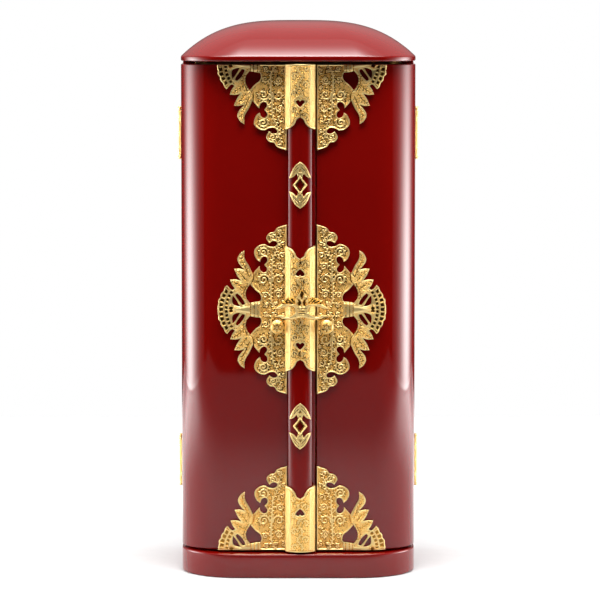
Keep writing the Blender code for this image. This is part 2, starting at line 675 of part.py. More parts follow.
def make_clasp(axis_empty):
    """The winged openwork clasp, standing on a foot in front of the middle sleeve."""
    share = CLASP_SPAN / DRAWN_SPAN
    middle = (CLASP_X, PLATE_MIDDLE_Z + CLASP_ABOVE_PLATE_MIDDLE)
    outline = mirrored(CLASP_HALF + ((0.0, CLASP_BOTTOM, 0),))
    curl_left = [(-x, y, sharp) for x, y, sharp in FLEUR_CURL]
    loops = [scaled(loop, share, share, middle) for loop in (outline, FLEUR_PETAL, FLEUR_CURL, curl_left)]
    mesh = upright(flat_mesh("door_clasp", loops, CLASP_SHEET), CLASP_BACK_Y)
    clasp = add_object("door_clasp", mesh, GILT)
    foot_top = middle[1]
    foot_bottom = foot_top - FOOT_WIDTH * share
    sleeve_front = SEAT_Y - SLEEVE_DEPTH - JOINT_GAP
    foot_half = FOOT_WIDTH * share / 2
    foot_outline = [(middle[0] - foot_half, foot_bottom, 1), (middle[0] + foot_half, foot_bottom, 1),
                    (middle[0] + foot_half, foot_top, 1), (middle[0] - foot_half, foot_top, 1)]
    depth = sleeve_front - CLASP_BACK_Y + CLASP_SHEET / 2
    foot = upright(flat_mesh("clasp_foot", [foot_outline], depth), sleeve_front)
    combine(clasp, [foot], "UNION")
    shade(clasp.data, 30)
    return hang(clasp, axis_empty)


def make_knob(name, x, axis_empty):
    """A turned knob: a ring base, a waist and a rounded button face."""
    profile = ((0.0, 1.0), (0.45, 0.98), (0.8, 0.86), (0.95, 0.68), (0.9, 0.5), (0.72, 0.4), (0.72, 0.22),
               (1.0, 0.16), (1.0, 0.0), (0.0, 0.0))
    mesh = turned(name, [(r * KNOB_RADIUS, h * KNOB_HEIGHT) for r, h in profile], KNOB_SIDES)
    z = PLATE_MIDDLE_Z - KNOB_BELOW_PLATE_MIDDLE
    knob = add_object(name, mesh, GILT, (x, PLATE_FACE_Y - JOINT_GAP, z), (math.pi / 2, 0, 0))
    return hang(knob, axis_empty)


def turned(name, profile, sides):
    """A solid of revolution about Z from a profile at +X that runs top to bottom."""
    mesh = bpy.data.meshes.new(name)
    shape = bmesh.new()
    verts = [shape.verts.new((r, 0, h)) for r, h in profile]
    for pair in zip(verts, verts[1:]):
        shape.edges.new(pair)
    shape.to_mesh(mesh)
    shape.free()
    blank = bpy.data.objects.new(name + "_blank", mesh)
    GUIDES.objects.link(blank)
    screw = blank.modifiers.new("turn", "SCREW")
    screw.axis = "Z"
    screw.angle = math.tau
    screw.steps = sides
    screw.render_steps = sides
    screw.use_merge_vertices = True
    screw.merge_threshold = 0.00001
    applied(blank)
    result = blank.data
    bpy.data.objects.remove(blank, do_unlink=True)
    weld(result)
    shade(result)
    return result


def block(name, low, high):
    """A box between two corners."""
    mesh = bpy.data.meshes.new(name)
    shape = bmesh.new()
    size = Vector(high) - Vector(low)
    middle = (Vector(high) + Vector(low)) / 2
    bmesh.ops.create_cube(shape, size=1.0, matrix=Matrix.Translation(middle) @ Matrix.Diagonal((*size, 1)))
    shape.to_mesh(mesh)
    shape.free()
    return mesh


def rod(name, radius, bottom, top, sides=KNUCKLE_SIDES):
    """An upright round bar about the local Z axis."""
    mesh = bpy.data.meshes.new(name)
    shape = bmesh.new()
    place = Matrix.Translation((0, 0, (bottom + top) / 2))
    bmesh.ops.create_cone(shape, cap_ends=True, segments=sides, radius1=radius, radius2=radius,
                          depth=top - bottom, matrix=place)
    shape.to_mesh(mesh)
    shape.free()
    return mesh


def knuckle_spans():
    """Bottom and top of each knuckle, from the top down, measured from the hinge's middle."""
    unit = (HINGE_LENGTH - KNUCKLE_GAP * (len(KNUCKLE_SHARES) - 1)) / sum(KNUCKLE_SHARES)
    spans = []
    top = HINGE_LENGTH / 2
    for share in KNUCKLE_SHARES:
        spans.append((top - share * unit, top))
        top -= share * unit + KNUCKLE_GAP
    return spans


def make_hinge_leaf(name, side, towards, spans, z):
    """A hinge leaf: a plate on the cabinet's side and its knuckles round the hinge axis.

    towards is 1 for the frame's leaf, which runs back from the axis, and -1 for the door's.
    """
    plate_out = -side * KNUCKLE_RADIUS + side * HINGE_SHEET
    plate_in = -side * KNUCKLE_RADIUS + side * (JOINT_GAP - KNUCKLE_STANDOFF)
    near = KNUCKLE_RADIUS + KNUCKLE_GAP
    far = near + HINGE_LEAF_WIDTH
    tab = (KNUCKLE_RADIUS + KNUCKLE_BORE) / 2
    xs = sorted((plate_out, plate_in))
    half = HINGE_LENGTH / 2

    def span_y(start, end):
        return sorted((start * towards, end * towards))

    ys = span_y(near, far)
    mesh = block(name, (xs[0], ys[0], -half), (xs[1], ys[1], half))
    leaf = add_object(name, mesh, GILT, (side * HINGE_X, HINGE_LINE_Y, z))
    joins = []
    for bottom, top in spans:
        ys = span_y(tab, near + HINGE_SHEET)
        joins.append(block("tab", (xs[0], ys[0], bottom), (xs[1], ys[1], top)))
        joins.append(rod("knuckle", KNUCKLE_RADIUS, bottom, top))
    bpy.context.view_layer.update()
    combine(leaf, joins, "UNION")
    combine(leaf, [rod("bore", KNUCKLE_BORE, -HINGE_LENGTH, HINGE_LENGTH)], "DIFFERENCE")
    weld(leaf.data)
    shade(leaf.data)
    return leaf


def make_pin(name, side, z):
    """The hinge pin with a ball at each end."""
    seat = HINGE_LENGTH / 2 + KNUCKLE_GAP
    ball = seat + FINIAL_RADIUS * 0.8
    upper = []
    for degrees in (90, 45, 0, -45):
        turn = math.radians(degrees)
        upper.append((FINIAL_RADIUS * math.cos(turn), ball + FINIAL_RADIUS * 0.8 * math.sin(turn)))
    upper[0] = (0.0, upper[0][1])
    upper.append((PIN_RADIUS, seat))
    profile = upper + [(r, -h) for r, h in reversed(upper)]
    mesh = turned(name, profile, KNUCKLE_SIDES)
    return add_object(name, mesh, GILT, (side * HINGE_X, HINGE_LINE_Y, z))


def make_hinges(side, axis_empty):
    """The two hinges of one door."""
    word = "left" if side < 0 else "right"
    spans = knuckle_spans()
    heights = {"top": DOOR_TOP - HINGE_BELOW_DOOR_TOP, "bottom": DOOR_BOTTOM + HINGE_ABOVE_DOOR_BOTTOM}
    for place, z in heights.items():
        stem = f"hinge_{word}_{place}"
        make_hinge_leaf(stem + "_frame_leaf", side, 1, spans[0::2], z)
        hang(make_hinge_leaf(stem + "_door_leaf", side, -1, spans[1::2], z), axis_empty)
        make_pin(stem + "_pin", side, z)


def make_axis(name, side):
    """An empty on a door's hinge axis, which carries all that turns with the door."""
    axis_empty = bpy.data.objects.new(name, None)
    axis_empty.location = (side * HINGE_X, HINGE_LINE_Y, 0)
    axis_empty.empty_display_size = DOOR_CORNER
    SHRINE.objects.link(axis_empty)
    return axis_empty


def make_left_side():
    """The left door with the strip, its gilt and its hinges."""
    axis_empty = make_axis("left_door_axis", -1)
    make_door("left_door", -1, MEETING_X - MEETING_GAP / 2, axis_empty)
    make_strip(axis_empty)
    make_sleeves(axis_empty)
    make_medallions(axis_empty)
    make_plates(-1, LEFT_PLATE_X, axis_empty)
    make_clasp(axis_empty)
    make_knob("left_knob", LEFT_PLATE_X - KNOB_FROM_PLATE_EDGE, axis_empty)
    make_hinges(-1, axis_empty)


def make_right_side():
    """The right door, its gilt and its hinges."""
    axis_empty = make_axis("right_door_axis", 1)
    make_door("right_door", 1, MEETING_X + MEETING_GAP / 2, axis_empty)
    make_plates(1, RIGHT_PLATE_X, axis_empty)
    make_knob("right_knob", RIGHT_PLATE_X + KNOB_FROM_PLATE_EDGE, axis_empty)
    make_hinges(1, axis_empty)


clear_scene()
SHRINE = new_collection("portable_shrine")
GUIDES = new_collection("guides")
LACQUER = finish_material("red_lacquer", (0.16, 0.004, 0.004), 0.06, 0.0)
GILT = finish_material("gilt", (0.83, 0.6, 0.24), 0.25, 1.0)
make_base()
make_cap()
make_cabinet_wall()
make_left_side()
make_right_side()
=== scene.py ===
"""The looks of a portable shrine: red lacquer, chased gilt fittings, a gold-leafed inside and a plain studio.

Metres, +Z up, the front faces -Y. The origin is the centre of the underside. Patterns on the gilt sheets are
drawn in millimetres, as (out from the inner edge, up from the middle line).
"""

import math

import bmesh
import bpy
import numpy as np
from bpy.props import FloatProperty, FloatVectorProperty, PointerProperty
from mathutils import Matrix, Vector
from mathutils.geometry import delaunay_2d_cdt


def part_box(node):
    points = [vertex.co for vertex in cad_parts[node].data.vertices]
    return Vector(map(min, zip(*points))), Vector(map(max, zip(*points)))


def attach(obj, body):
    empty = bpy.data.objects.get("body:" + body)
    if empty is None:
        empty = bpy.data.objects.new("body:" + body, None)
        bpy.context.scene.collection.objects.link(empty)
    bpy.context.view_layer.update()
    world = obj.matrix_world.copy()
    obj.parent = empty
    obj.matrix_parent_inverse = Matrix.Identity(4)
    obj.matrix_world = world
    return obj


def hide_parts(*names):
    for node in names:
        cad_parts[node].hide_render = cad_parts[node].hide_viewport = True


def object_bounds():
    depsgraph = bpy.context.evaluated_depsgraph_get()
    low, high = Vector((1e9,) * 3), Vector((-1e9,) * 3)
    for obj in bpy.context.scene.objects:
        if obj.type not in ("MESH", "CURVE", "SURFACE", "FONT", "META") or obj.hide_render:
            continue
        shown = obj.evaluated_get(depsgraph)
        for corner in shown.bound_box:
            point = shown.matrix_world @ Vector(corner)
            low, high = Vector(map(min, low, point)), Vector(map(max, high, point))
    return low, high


bl_info = {
    "name": "Portable shrine looks",
    "version": (1, 0, 0),
    "blender": (4, 5, 0),
    "location": "View3D > Sidebar > Shrine",
    "description": "Dresses the packed shrine with lacquer, chased gilt and studio light",
    "category": "Object",
}

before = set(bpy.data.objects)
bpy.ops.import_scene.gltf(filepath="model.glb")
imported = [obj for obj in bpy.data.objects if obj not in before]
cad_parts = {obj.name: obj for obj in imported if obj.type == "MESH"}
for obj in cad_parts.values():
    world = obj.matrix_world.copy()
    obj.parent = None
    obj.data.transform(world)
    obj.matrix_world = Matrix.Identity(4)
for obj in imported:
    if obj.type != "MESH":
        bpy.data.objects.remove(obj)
CAD_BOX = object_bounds()

MM = 0.001
LACQUER_SLOT = "red_lacquer"
GILT_SLOT = "gilt"
GOLD_LEAF = "gold_leaf"

# Quarter of a gilt plate's outline, the same drawing that the solids are cut to: (x, y, sharp)
PLATE_DRAWN = (22.1, 27.2)
SCROLLS = (
    (0.0, 27.2, 1), (3.2, 26.1, 0), (4.1, 24.9, 0), (5.6, 24.5, 0), (6.6, 23.0, 0), (5.7, 21.2, 1),
    (4.4, 21.9, 0), (3.15, 21.4, 0), (3.95, 20.2, 0), (5.6, 20.2, 0), (7.45, 20.9, 0), (9.65, 20.0, 0),
    (10.5, 18.4, 0), (9.85, 16.3, 0), (8.65, 15.2, 1), (8.0, 16.6, 0), (6.7, 16.8, 0), (6.35, 15.5, 0),
    (7.25, 14.35, 1), (6.4, 12.9, 0), (7.2, 11.9, 0), (8.4, 12.5, 0), (8.85, 13.9, 1), (9.9, 12.7, 0),
)
LEAVES = (
    (10.95, 11.4, 1), (12.1, 13.9, 0), (13.5, 16.4, 0), (13.6, 18.9, 1), (15.1, 17.7, 0), (15.7, 15.6, 0),
    (13.65, 12.7, 1), (15.4, 13.1, 0), (16.85, 13.0, 1), (15.85, 10.8, 0),
    (14.7, 9.2, 1), (16.4, 9.6, 0), (18.15, 9.5, 1), (17.5, 7.9, 0), (16.65, 6.75, 1), (17.6, 6.3, 0),
)
FAN_TIP = (19.15, 7.8)
FAN_SCALLOPS = 4
FAN_BULGE = 0.35
STEM_HALF = (
    (8.5, 0.0, 1), (8.5, 1.9, 0), (9.6, 2.2, 0), (11.4, 1.9, 0), (12.0, 1.2, 1), (14.6, 0.8, 0),
    (17.4, 0.2, 1),
)
HEART_OPENING = (
    (11.85, 8.2, 1), (10.3, 6.4, 0), (8.5, 4.7, 0), (8.5, 2.8, 0), (9.8, 2.5, 0), (11.9, 2.1, 1),
    (13.0, 3.7, 0), (13.1, 5.8, 0),
)
STAMEN_OPENINGS = (
    ((17.4, 4.6, 1), (16.4, 3.4, 0), (14.95, 1.0, 1), (16.2, 1.2, 0), (17.4, 2.0, 0)),
    ((15.9, 5.2, 1), (14.6, 4.0, 0), (13.45, 1.8, 0), (14.25, 1.4, 1), (15.5, 3.0, 0), (16.45, 4.7, 0)),
)

# What is chased on a quarter plate: the vine, its curls as (centre, radius, start and sweep in degrees), the
# seam between lobe and leaves, the ribs of the leaves, the fan's rows of cells as (distance from its centre,
# height, half width, shift along the row), the turn from cell to cell in degrees, and the collar's ribs
VINE = (
    (3.6, 0.3), (5.0, 2.9), (5.1, 6.4), (4.9, 10.2), (4.7, 13.6), (4.5, 16.6), (3.2, 19.2), (2.6, 22.0),
    (1.7, 25.4),
)
CURLS = (
    ((7.6, 18.4), 1.65, 215, -520), ((4.5, 23.0), 1.2, 200, -480), ((8.2, 13.0), 0.7, 250, -330),
    ((2.2, 13.8), 1.3, -20, 560), ((2.7, 9.6), 1.8, -10, 430), ((7.5, 9.6), 1.9, 190, -560),
    ((2.7, 5.0), 1.35, 20, 590), ((6.9, 4.6), 1.1, 170, -450), ((1.6, 17.3), 1.2, -60, 400),
    ((6.5, 1.3), 0.9, 150, -420), ((5.6, 12.9), 0.75, 200, -400), ((1.3, 20.9), 0.95, -50, 360),
    ((1.3, 1.9), 0.95, 70, 380), ((2.6, 24.9), 0.65, 190, -400), ((1.0, 11.7), 0.6, 40, 420),
    ((1.0, 7.3), 0.7, -60, 400), ((2.9, 22.2), 0.55, 30, -380), ((3.6, 1.9), 0.6, 190, -400),
)
SEAM = ((10.75, 12.2), (10.7, 10.6), (11.0, 9.0), (11.9, 8.0))
LEAF_RIBS = (
    ((12.0, 10.4), (13.4, 13.6), (14.5, 15.8), (13.9, 18.2)), ((13.0, 9.2), (14.5, 11.2), (16.4, 12.7)),
    ((13.9, 6.6), (15.6, 8.0), (17.7, 9.2)), ((12.5, 8.4), (13.9, 5.4), (13.6, 3.2)),
)
FAN_CENTRE = (11.0, 0.0)
FAN_ROWS = ((10.05, 1.4, 0.62, 0.0), (8.4, 1.05, 0.5, 0.5))
FAN_PITCH = 8.6
COLLAR_RIBS = (9.3, 10.5, 11.6)

# Half of the clasp's outline and its openings, in millimetres from its middle
CLASP_HALF = (
    (0.0, 6.4, 1), (0.9, 5.2, 0), (2.3, 3.3, 1), (3.8, 3.7, 0), (5.4, 2.9, 0), (7.0, 1.3, 0), (10.0, -0.2, 1),
    (7.3, -0.2, 0), (5.2, 0.5, 0), (2.9, 0.5, 0), (2.3, -1.0, 0), (3.4, -2.0, 0), (5.0, -2.3, 0),
    (6.6, -1.7, 0), (8.2, -2.1, 0), (9.6, -2.8, 1), (7.6, -3.0, 0), (4.4, -3.6, 0), (1.8, -3.3, 0),
)
CLASP_BOTTOM = -2.9
CLASP_ASIDE = 0.575
FLEUR_PETAL = ((0.0, 5.8, 1), (0.5, 4.5, 0), (0.0, 3.1, 1), (-0.5, 4.5, 0))
FLEUR_CURL = ((0.5, 1.0, 1), (0.45, 2.3, 0), (1.5, 3.2, 1), (1.0, 2.3, 0), (1.6, 1.5, 0), (1.0, 1.1, 0))
FEATHERS = (
    ((2.3, 1.9), (3.6, 3.3)), ((3.1, 1.8), (4.6, 3.0)), ((4.0, 1.7), (5.6, 2.5)), ((5.0, 1.5), (6.6, 1.6)),
    ((2.0, -2.4), (5.0, -2.9), (8.8, -2.7)), ((2.4, 0.9), (5.2, 1.0), (8.6, 0.1)),
)
BREAST_LINES = (((0.0, 0.0), (1.5, 0.0)), ((0.0, -0.9), (1.2, -0.9)), ((0.0, -1.6), (1.0, -1.55)))

# Half of a heart and the parts of a medallion, in shares of half width and half height, and the veins chased
# on its crescents: points as (millimetres across, share of the half height), then half widths in millimetres
HEART_HALF = ((0.0, 0.42, 1), (0.45, 0.72, 0), (1.0, 0.35, 0), (0.62, -0.3, 0), (0.0, -0.85, 1))
LOZENGE_SIDE = (0.74, 0.0, 1)
LOZENGE_INNER = ((0.0, 0.21, 1), (0.34, 0.0, 1), (0.0, -0.21, 1), (-0.34, 0.0, 1))
CRESCENT_HALF = (
    (0.0, 1.0, 1), (0.45, 0.83, 0), (0.85, 0.5, 0), (1.0, 0.28, 1), (0.6, 0.36, 0), (0.33, 0.5, 1),
    (0.2, 0.36, 0), (0.2, 0.26, 1),
)
CRESCENT_VEINS = (
    (((0.5, 0.74), (1.6, 0.6), (2.9, 0.36)), (0.14, 0.12, 0.05)),
    (((0.4, 0.88), (1.2, 0.78), (2.2, 0.6)), (0.1, 0.1, 0.04)),
)

# How far a rounded outline bows out, as a share of its side, and the cells in which near lines are searched
HANDLE_REACH = 0.37
SEARCH_CELL = 1.2

# The clasp's smooth tendrils, the sleeves' ends and panel, and the knobs' profile, petals and rings.
# A sleeve's end is in shares of half width and point, a ring is (distance from the middle, width, depth)
CLASP_TENDRILS = (
    ((1.4, 1.0), (4.2, 1.35), (6.8, 0.6), (9.6, -0.15)),
    ((2.2, -1.8), (4.6, -2.9), (7.0, -2.2), (9.2, -2.6)),
)
SLEEVE_POINT = 4.0
SLEEVE_END = ((1.0, 0.0, 1), (0.62, 0.2, 0), (0.38, 0.5, 0), (0.24, 0.82, 0))
SLEEVE_OVERREACH = 1.02
HEART_WIDTH = 3.0
HEART_TO_NOTCH = 4.4
SLEEVE_PANEL = 3.4
SLEEVE_LOBE = ((0.2, 1.0), (1.2, 0.5), (2.2, 1.6), (1.9, 3.0), (0.9, 2.6))
SLEEVE_LEAF = ((0.4, 4.4), (1.1, 3.4), (1.0, 2.6))
SLEEVE_WAVE = 5.2
KNOB_PROFILE = (
    (1.0, 0.0), (1.0, 0.1), (0.96, 0.15), (0.8, 0.19), (0.72, 0.24), (0.7, 0.32), (0.72, 0.4), (0.82, 0.46),
    (0.92, 0.53), (0.97, 0.62), (0.95, 0.71), (0.88, 0.79), (0.79, 0.86), (0.68, 0.91), (0.57, 0.945),
    (0.46, 0.965), (0.38, 0.975), (0.33, 0.96), (0.29, 0.955), (0.25, 0.975), (0.18, 0.99), (0.08, 1.0),
)
KNOB_PETALS = 6
KNOB_PETAL_REACH = (0.2, 0.78)
KNOB_RINGS = ((0.3, 0.06, 1.0), (0.72, 0.07, 0.7))

# How finely the cap's dome is stepped, the plates on the doors, and the clasp's sheet and foot
DOME_RINGS = 40
PLATE_GAP = 0.3 * MM
PLATE_SHEET = 0.6
CLASP_SHEET = 1.0
CLASP_FOOT_HALF = 1.2 * MM
CLASP_FOOT_TALL = 2.4 * MM
CLASP_FOOT_ROUND = 0.25 * MM

# The hinges: barrel, knuckles from the top, gaps, the tab that ties a knuckle to its leaf (from the axis, and
# into the leaf), a leaf's two faces measured from the barrel, the nails, and the ball at each end of a pin
KNUCKLE_RADIUS = 0.7 * MM
HINGE_LENGTH = 14.4 * MM
KNUCKLE_SHARES = (1.0, 2.1, 2.1, 1.0)
KNUCKLE_GAP = 0.2 * MM
KNUCKLE_BEAD = 0.32 * MM
KNUCKLE_TAB = (0.56 * MM, 0.4 * MM)
HINGE_LEAF_FACES = (0.05 * MM, 0.4 * MM)
HINGE_LEAF_ROUND = 0.1 * MM
NAIL_RADIUS = 0.55 * MM
NAIL_RISE = 0.7 * MM
NAIL_ACROSS = (0.27, 0.78)
NAIL_UP = (-0.3, 0.3)
PIN_BALL = ((0.1, -1.0), (0.7, -0.8), (0.95, -0.4), (1.0, 0.0), (0.95, 0.4), (0.7, 0.8), (0.36, 1.0))
PIN_BALL_TALL = 0.8

# The floor, and the light panels: place, size, and their brightest spot and its fall-off each way in shares
FLOOR_THICK = 4 * MM
FLOOR_DROP = 0.05 * MM
SIDE_PANEL_AWAY = 313 * MM
SIDE_PANEL_BACK = 60 * MM
SIDE_PANEL_UP = 151 * MM
SIDE_PANEL_SIZE = (600 * MM, 298 * MM)
SIDE_PANEL_SPOT = ((0.5, 0.175), (0.18, 0.5))
OVERHEAD_PLACE = (0, -205 * MM, 620 * MM)
OVERHEAD_SIZE = (1000 * MM, 600 * MM)
OVERHEAD_SPOT = ((0.5, 0.24), (0.5, 0.18))


class BodySizes(bpy.types.PropertyGroup):
    """Sizes of the lacquered body."""

    front_corner: FloatProperty(
        name="Front corner", description="Radius of base and cap at the front",
        default=18.6 * MM, unit="LENGTH")
    back_corner: FloatProperty(
        name="Back corner", description="Radius of base, cap and wall at the back",
        default=10.0 * MM, unit="LENGTH")
    door_corner: FloatProperty(
        name="Door corner", description="Outer radius that each leaf wraps",
        default=14.0 * MM, unit="LENGTH")
    wall: FloatProperty(
        name="Wall", description="Thickness of wall and leaves", default=4.2 * MM, unit="LENGTH")
    edge_round: FloatProperty(
        name="Edge rounding", description="How far the lacquered edges are eased",
        default=0.5 * MM, unit="LENGTH")
    cap_rim: FloatProperty(
        name="Cap rim", description="Upright height of the cap's rim", default=1.5 * MM, unit="LENGTH")
    dome_power: FloatProperty(
        name="Dome fullness", description="How flat the dome stays before it falls to the rim",
        default=3.2)


class StripSizes(bpy.types.PropertyGroup):
    """Sizes of the strip over the meeting edge and of the sheets bent over it."""

    depth: FloatProperty(
        name="Depth", description="How far the strip stands off the doors",
        default=3.9 * MM, unit="LENGTH")
    front_radius: FloatProperty(
        name="Front radius", description="Radius of the strip's gently rounded front",
        default=5.05 * MM, unit="LENGTH")
    shoulder: FloatProperty(
        name="Shoulder", description="Radius where the front turns into the sides",
        default=0.5 * MM, unit="LENGTH")
    gap: FloatProperty(
        name="Gap", description="Between the strip and what is bent over it",
        default=0.3 * MM, unit="LENGTH")
    sleeve_sheet: FloatProperty(
        name="Sleeve sheet", description="Thickness of the sleeves", default=0.7 * MM, unit="LENGTH")
    medallion_sheet: FloatProperty(
        name="Medallion sheet", description="Thickness of the medallions",
        default=0.45 * MM, unit="LENGTH")


class LacquerLook(bpy.types.PropertyGroup):
    """Colour and gloss of the lacquer."""

    colour: FloatVectorProperty(
        name="Colour", description="Colour of the polished coat", subtype="COLOR", size=3,
        default=(0.17, 0.0016, 0.0008))
    deep: FloatVectorProperty(
        name="Depth", description="Colour where the coat is thicker", subtype="COLOR", size=3,
        default=(0.145, 0.0012, 0.0006))
    gloss: FloatProperty(
        name="Roughness", description="Roughness of the polish", default=0.045, min=0.0, max=1.0)


class GiltLook(bpy.types.PropertyGroup):
    """Colour and polish of the gilt."""

    colour: FloatVectorProperty(
        name="Gold", description="Colour of the gilding", subtype="COLOR", size=3,
        default=(1.0, 0.76, 0.33))
    # The ground's warmer orange is painted reflected light: the glow that chased gold throws into its own
    # hollows.
    ground: FloatVectorProperty(
        name="Ground", description="Warmer gold of the granulated ground", subtype="COLOR", size=3,
        default=(1.0, 0.56, 0.11))
    # The dark of engraved lines and pits, and the painted shade round raised scrolls, at the fan's tip and
    # behind the clasp.
    recess: FloatVectorProperty(
        name="Recess", description="Darkened lines and pits", subtype="COLOR", size=3,
        default=(0.06, 0.027, 0.007))
    polish: FloatProperty(
        name="Roughness", description="Roughness of the raised gold", default=0.43, min=0.0, max=1.0)


class GoldLeafLook(bpy.types.PropertyGroup):
    """Colours of the gold leaf inside, and how many squares of it lie in a metre."""

    colour: FloatVectorProperty(
        name="Gold", description="Colour of the leaf", subtype="COLOR", size=3, default=(0.92, 0.6, 0.22))
    wrinkled: FloatVectorProperty(
        name="Wrinkles", description="Colour where the leaf is wrinkled", subtype="COLOR", size=3,
        default=(0.8, 0.47, 0.14))
    overlap: FloatVectorProperty(
        name="Overlaps", description="Colour where squares overlap", subtype="COLOR", size=3,
        default=(0.7, 0.38, 0.1))
    squares: FloatProperty(name="Squares", description="Squares of leaf in a metre", default=45.0)


class ChasingSizes(bpy.types.PropertyGroup):
    """Sizes of the chased relief."""

    pitch: FloatProperty(
        name="Fineness", description="Distance between the points of a relief",
        default=0.14 * MM, unit="LENGTH")
    ground: FloatProperty(
        name="Ground depth", description="How far the ground lies under the scrolls",
        default=0.26 * MM, unit="LENGTH")
    rim: FloatProperty(
        name="Rim", description="Width of the smooth edge line", default=0.4 * MM, unit="LENGTH")


class StageSizes(bpy.types.PropertyGroup):
    """Sizes and strengths of the floor and lights."""

    floor_half: FloatProperty(
        name="Floor reach", description="From the object to the white floor's edge",
        default=344.0 * MM, unit="LENGTH")
    side_glow: FloatProperty(
        name="Side panels", description="Brightness of the panel at each side", default=13.0)
    top_glow: FloatProperty(
        name="Overhead panel", description="Brightness of the overhead panel", default=28.0)
    back_glow: FloatProperty(
        name="Backdrop", description="Brightness of the surroundings above and behind", default=1.25)
    front_glow: FloatProperty(name="Room", description="Brightness of the room in front", default=0.02)
    sweep_glow: FloatProperty(name="Sweep", description="How much the floor behind glows", default=0.5)
    flank_glow: FloatProperty(
        name="Flanks", description="How much the floor under the side panels glows", default=2.4)


def deselect():
    """Nothing selected, in object mode."""
    if bpy.context.object and bpy.context.object.mode != "OBJECT":
        bpy.ops.object.mode_set(mode="OBJECT")
    bpy.ops.object.select_all(action="DESELECT")


def make_active(obj):
    """This object alone selected and active."""
    deselect()
    obj.select_set(True)
    bpy.context.view_layer.objects.active = obj


def settle(name):
    """Name the active new object and put its place into its mesh."""
    obj = bpy.context.object
    obj.name = name
    obj.data.name = name
    bpy.ops.object.transform_apply(location=True, rotation=True, scale=True)
    return obj


def new_block(name, low, high):
    """A box between two corners, as a start for shaping."""
    deselect()
    bpy.ops.mesh.primitive_cube_add(size=1, location=(0, 0, 0))
    size = Vector(high) - Vector(low)
    bpy.ops.transform.resize(value=size)
    bpy.ops.transform.translate(value=(Vector(high) + Vector(low)) / 2)
    return settle(name)


def begin_edit(obj, kind="EDGE"):
    """Edit mode on this object with nothing selected."""
    make_active(obj)
    bpy.ops.object.mode_set(mode="EDIT")
    bpy.ops.mesh.select_mode(type=kind)
    bpy.ops.mesh.select_all(action="DESELECT")


def end_edit():
    """Back to object mode."""
    bpy.ops.object.mode_set(mode="OBJECT")


def pick(kind, test):
    """Select what passes the test among the edges or faces of the mesh in edit mode."""
    bpy.ops.mesh.select_all(action="DESELECT")
    mesh = bpy.context.object.data
    shape = bmesh.from_edit_mesh(mesh)
    chosen = [item for item in getattr(shape, kind) if test(item)]
    for item in chosen:
        item.select_set(True)
    bmesh.update_edit_mesh(mesh)
    if not chosen:
        raise RuntimeError(f"nothing to select on {bpy.context.object.name}")


def near(value, other):
    """Whether two lengths agree to a thousandth of a millimetre."""
    return abs(value - other) < 0.001 * MM


def upright_at(x_size, y):
    """A test for the upright edges at a plan corner, both sides of the middle."""

    def test(edge):
        a, b = (vert.co for vert in edge.verts)
        return near(a.x, b.x) and near(a.y, b.y) and near(abs(a.x), x_size) and near(a.y, y)

    return test


def upright_edge(x, y):
    """A test for one upright edge."""

    def test(edge):
        a, b = (vert.co for vert in edge.verts)
        return near(a.x, b.x) and near(a.y, b.y) and near(a.x, x) and near(a.y, y)

    return test


def upright_shoulder(x, behind):
    """A test for the upright edge where the strip's front meets a side: at this x, in front of this y."""

    def test(edge):
        a, b = (vert.co for vert in edge.verts)
        return near(a.x, x) and near(b.x, x) and near(a.y, b.y) and a.y < behind and not near(a.z, b.z)

    return test


def level_rim(z):
    """A test for the edges round a level face at this height."""

    def test(edge):
        if not all(near(vert.co.z, z) for vert in edge.verts) or len(edge.link_faces) != 2:
            return False
        tilts = sorted(abs(face.normal.z) for face in edge.link_faces)
        return tilts[0] < 0.9 < tilts[1] or tilts[1] - tilts[0] > 0.3

    return test


def finish_modifiers(obj):
    """Apply every modifier in order."""
    make_active(obj)
    for modifier in list(obj.modifiers):
        bpy.ops.object.modifier_apply(modifier=modifier.name)


def smooth(obj, degrees=32):
    """Smooth shading that keeps the edges sharper than this angle."""
    make_active(obj)
    bpy.ops.object.shade_smooth_by_angle(angle=math.radians(degrees))


def ease_all(obj, width):
    """Round every edge of a small block."""
    begin_edit(obj)
    bpy.ops.mesh.select_all(action="SELECT")
    bpy.ops.mesh.bevel(offset=width, segments=3, affect="EDGES")
    end_edit()


def put(obj, place, turn=(0, 0, 0)):
    """Turn a piece, place it, and put both into its mesh."""
    obj.rotation_euler = turn
    obj.location = place
    make_active(obj)
    bpy.ops.object.transform_apply(location=True, rotation=True, scale=True)
    return obj


def join(parts):
    """Join small parts into the first of them."""
    deselect()
    for part in parts:
        part.select_set(True)
    bpy.context.view_layer.objects.active = parts[0]
    bpy.ops.object.join()


def dress(obj, body, slot, node):
    """Give a piece its body, its slot and, if it has none yet, its finish. It stands for its CAD node."""
    if not obj.data.materials:
        obj.data.materials.append(finish(slot))
    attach(obj, body)
    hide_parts(node)
    deselect()


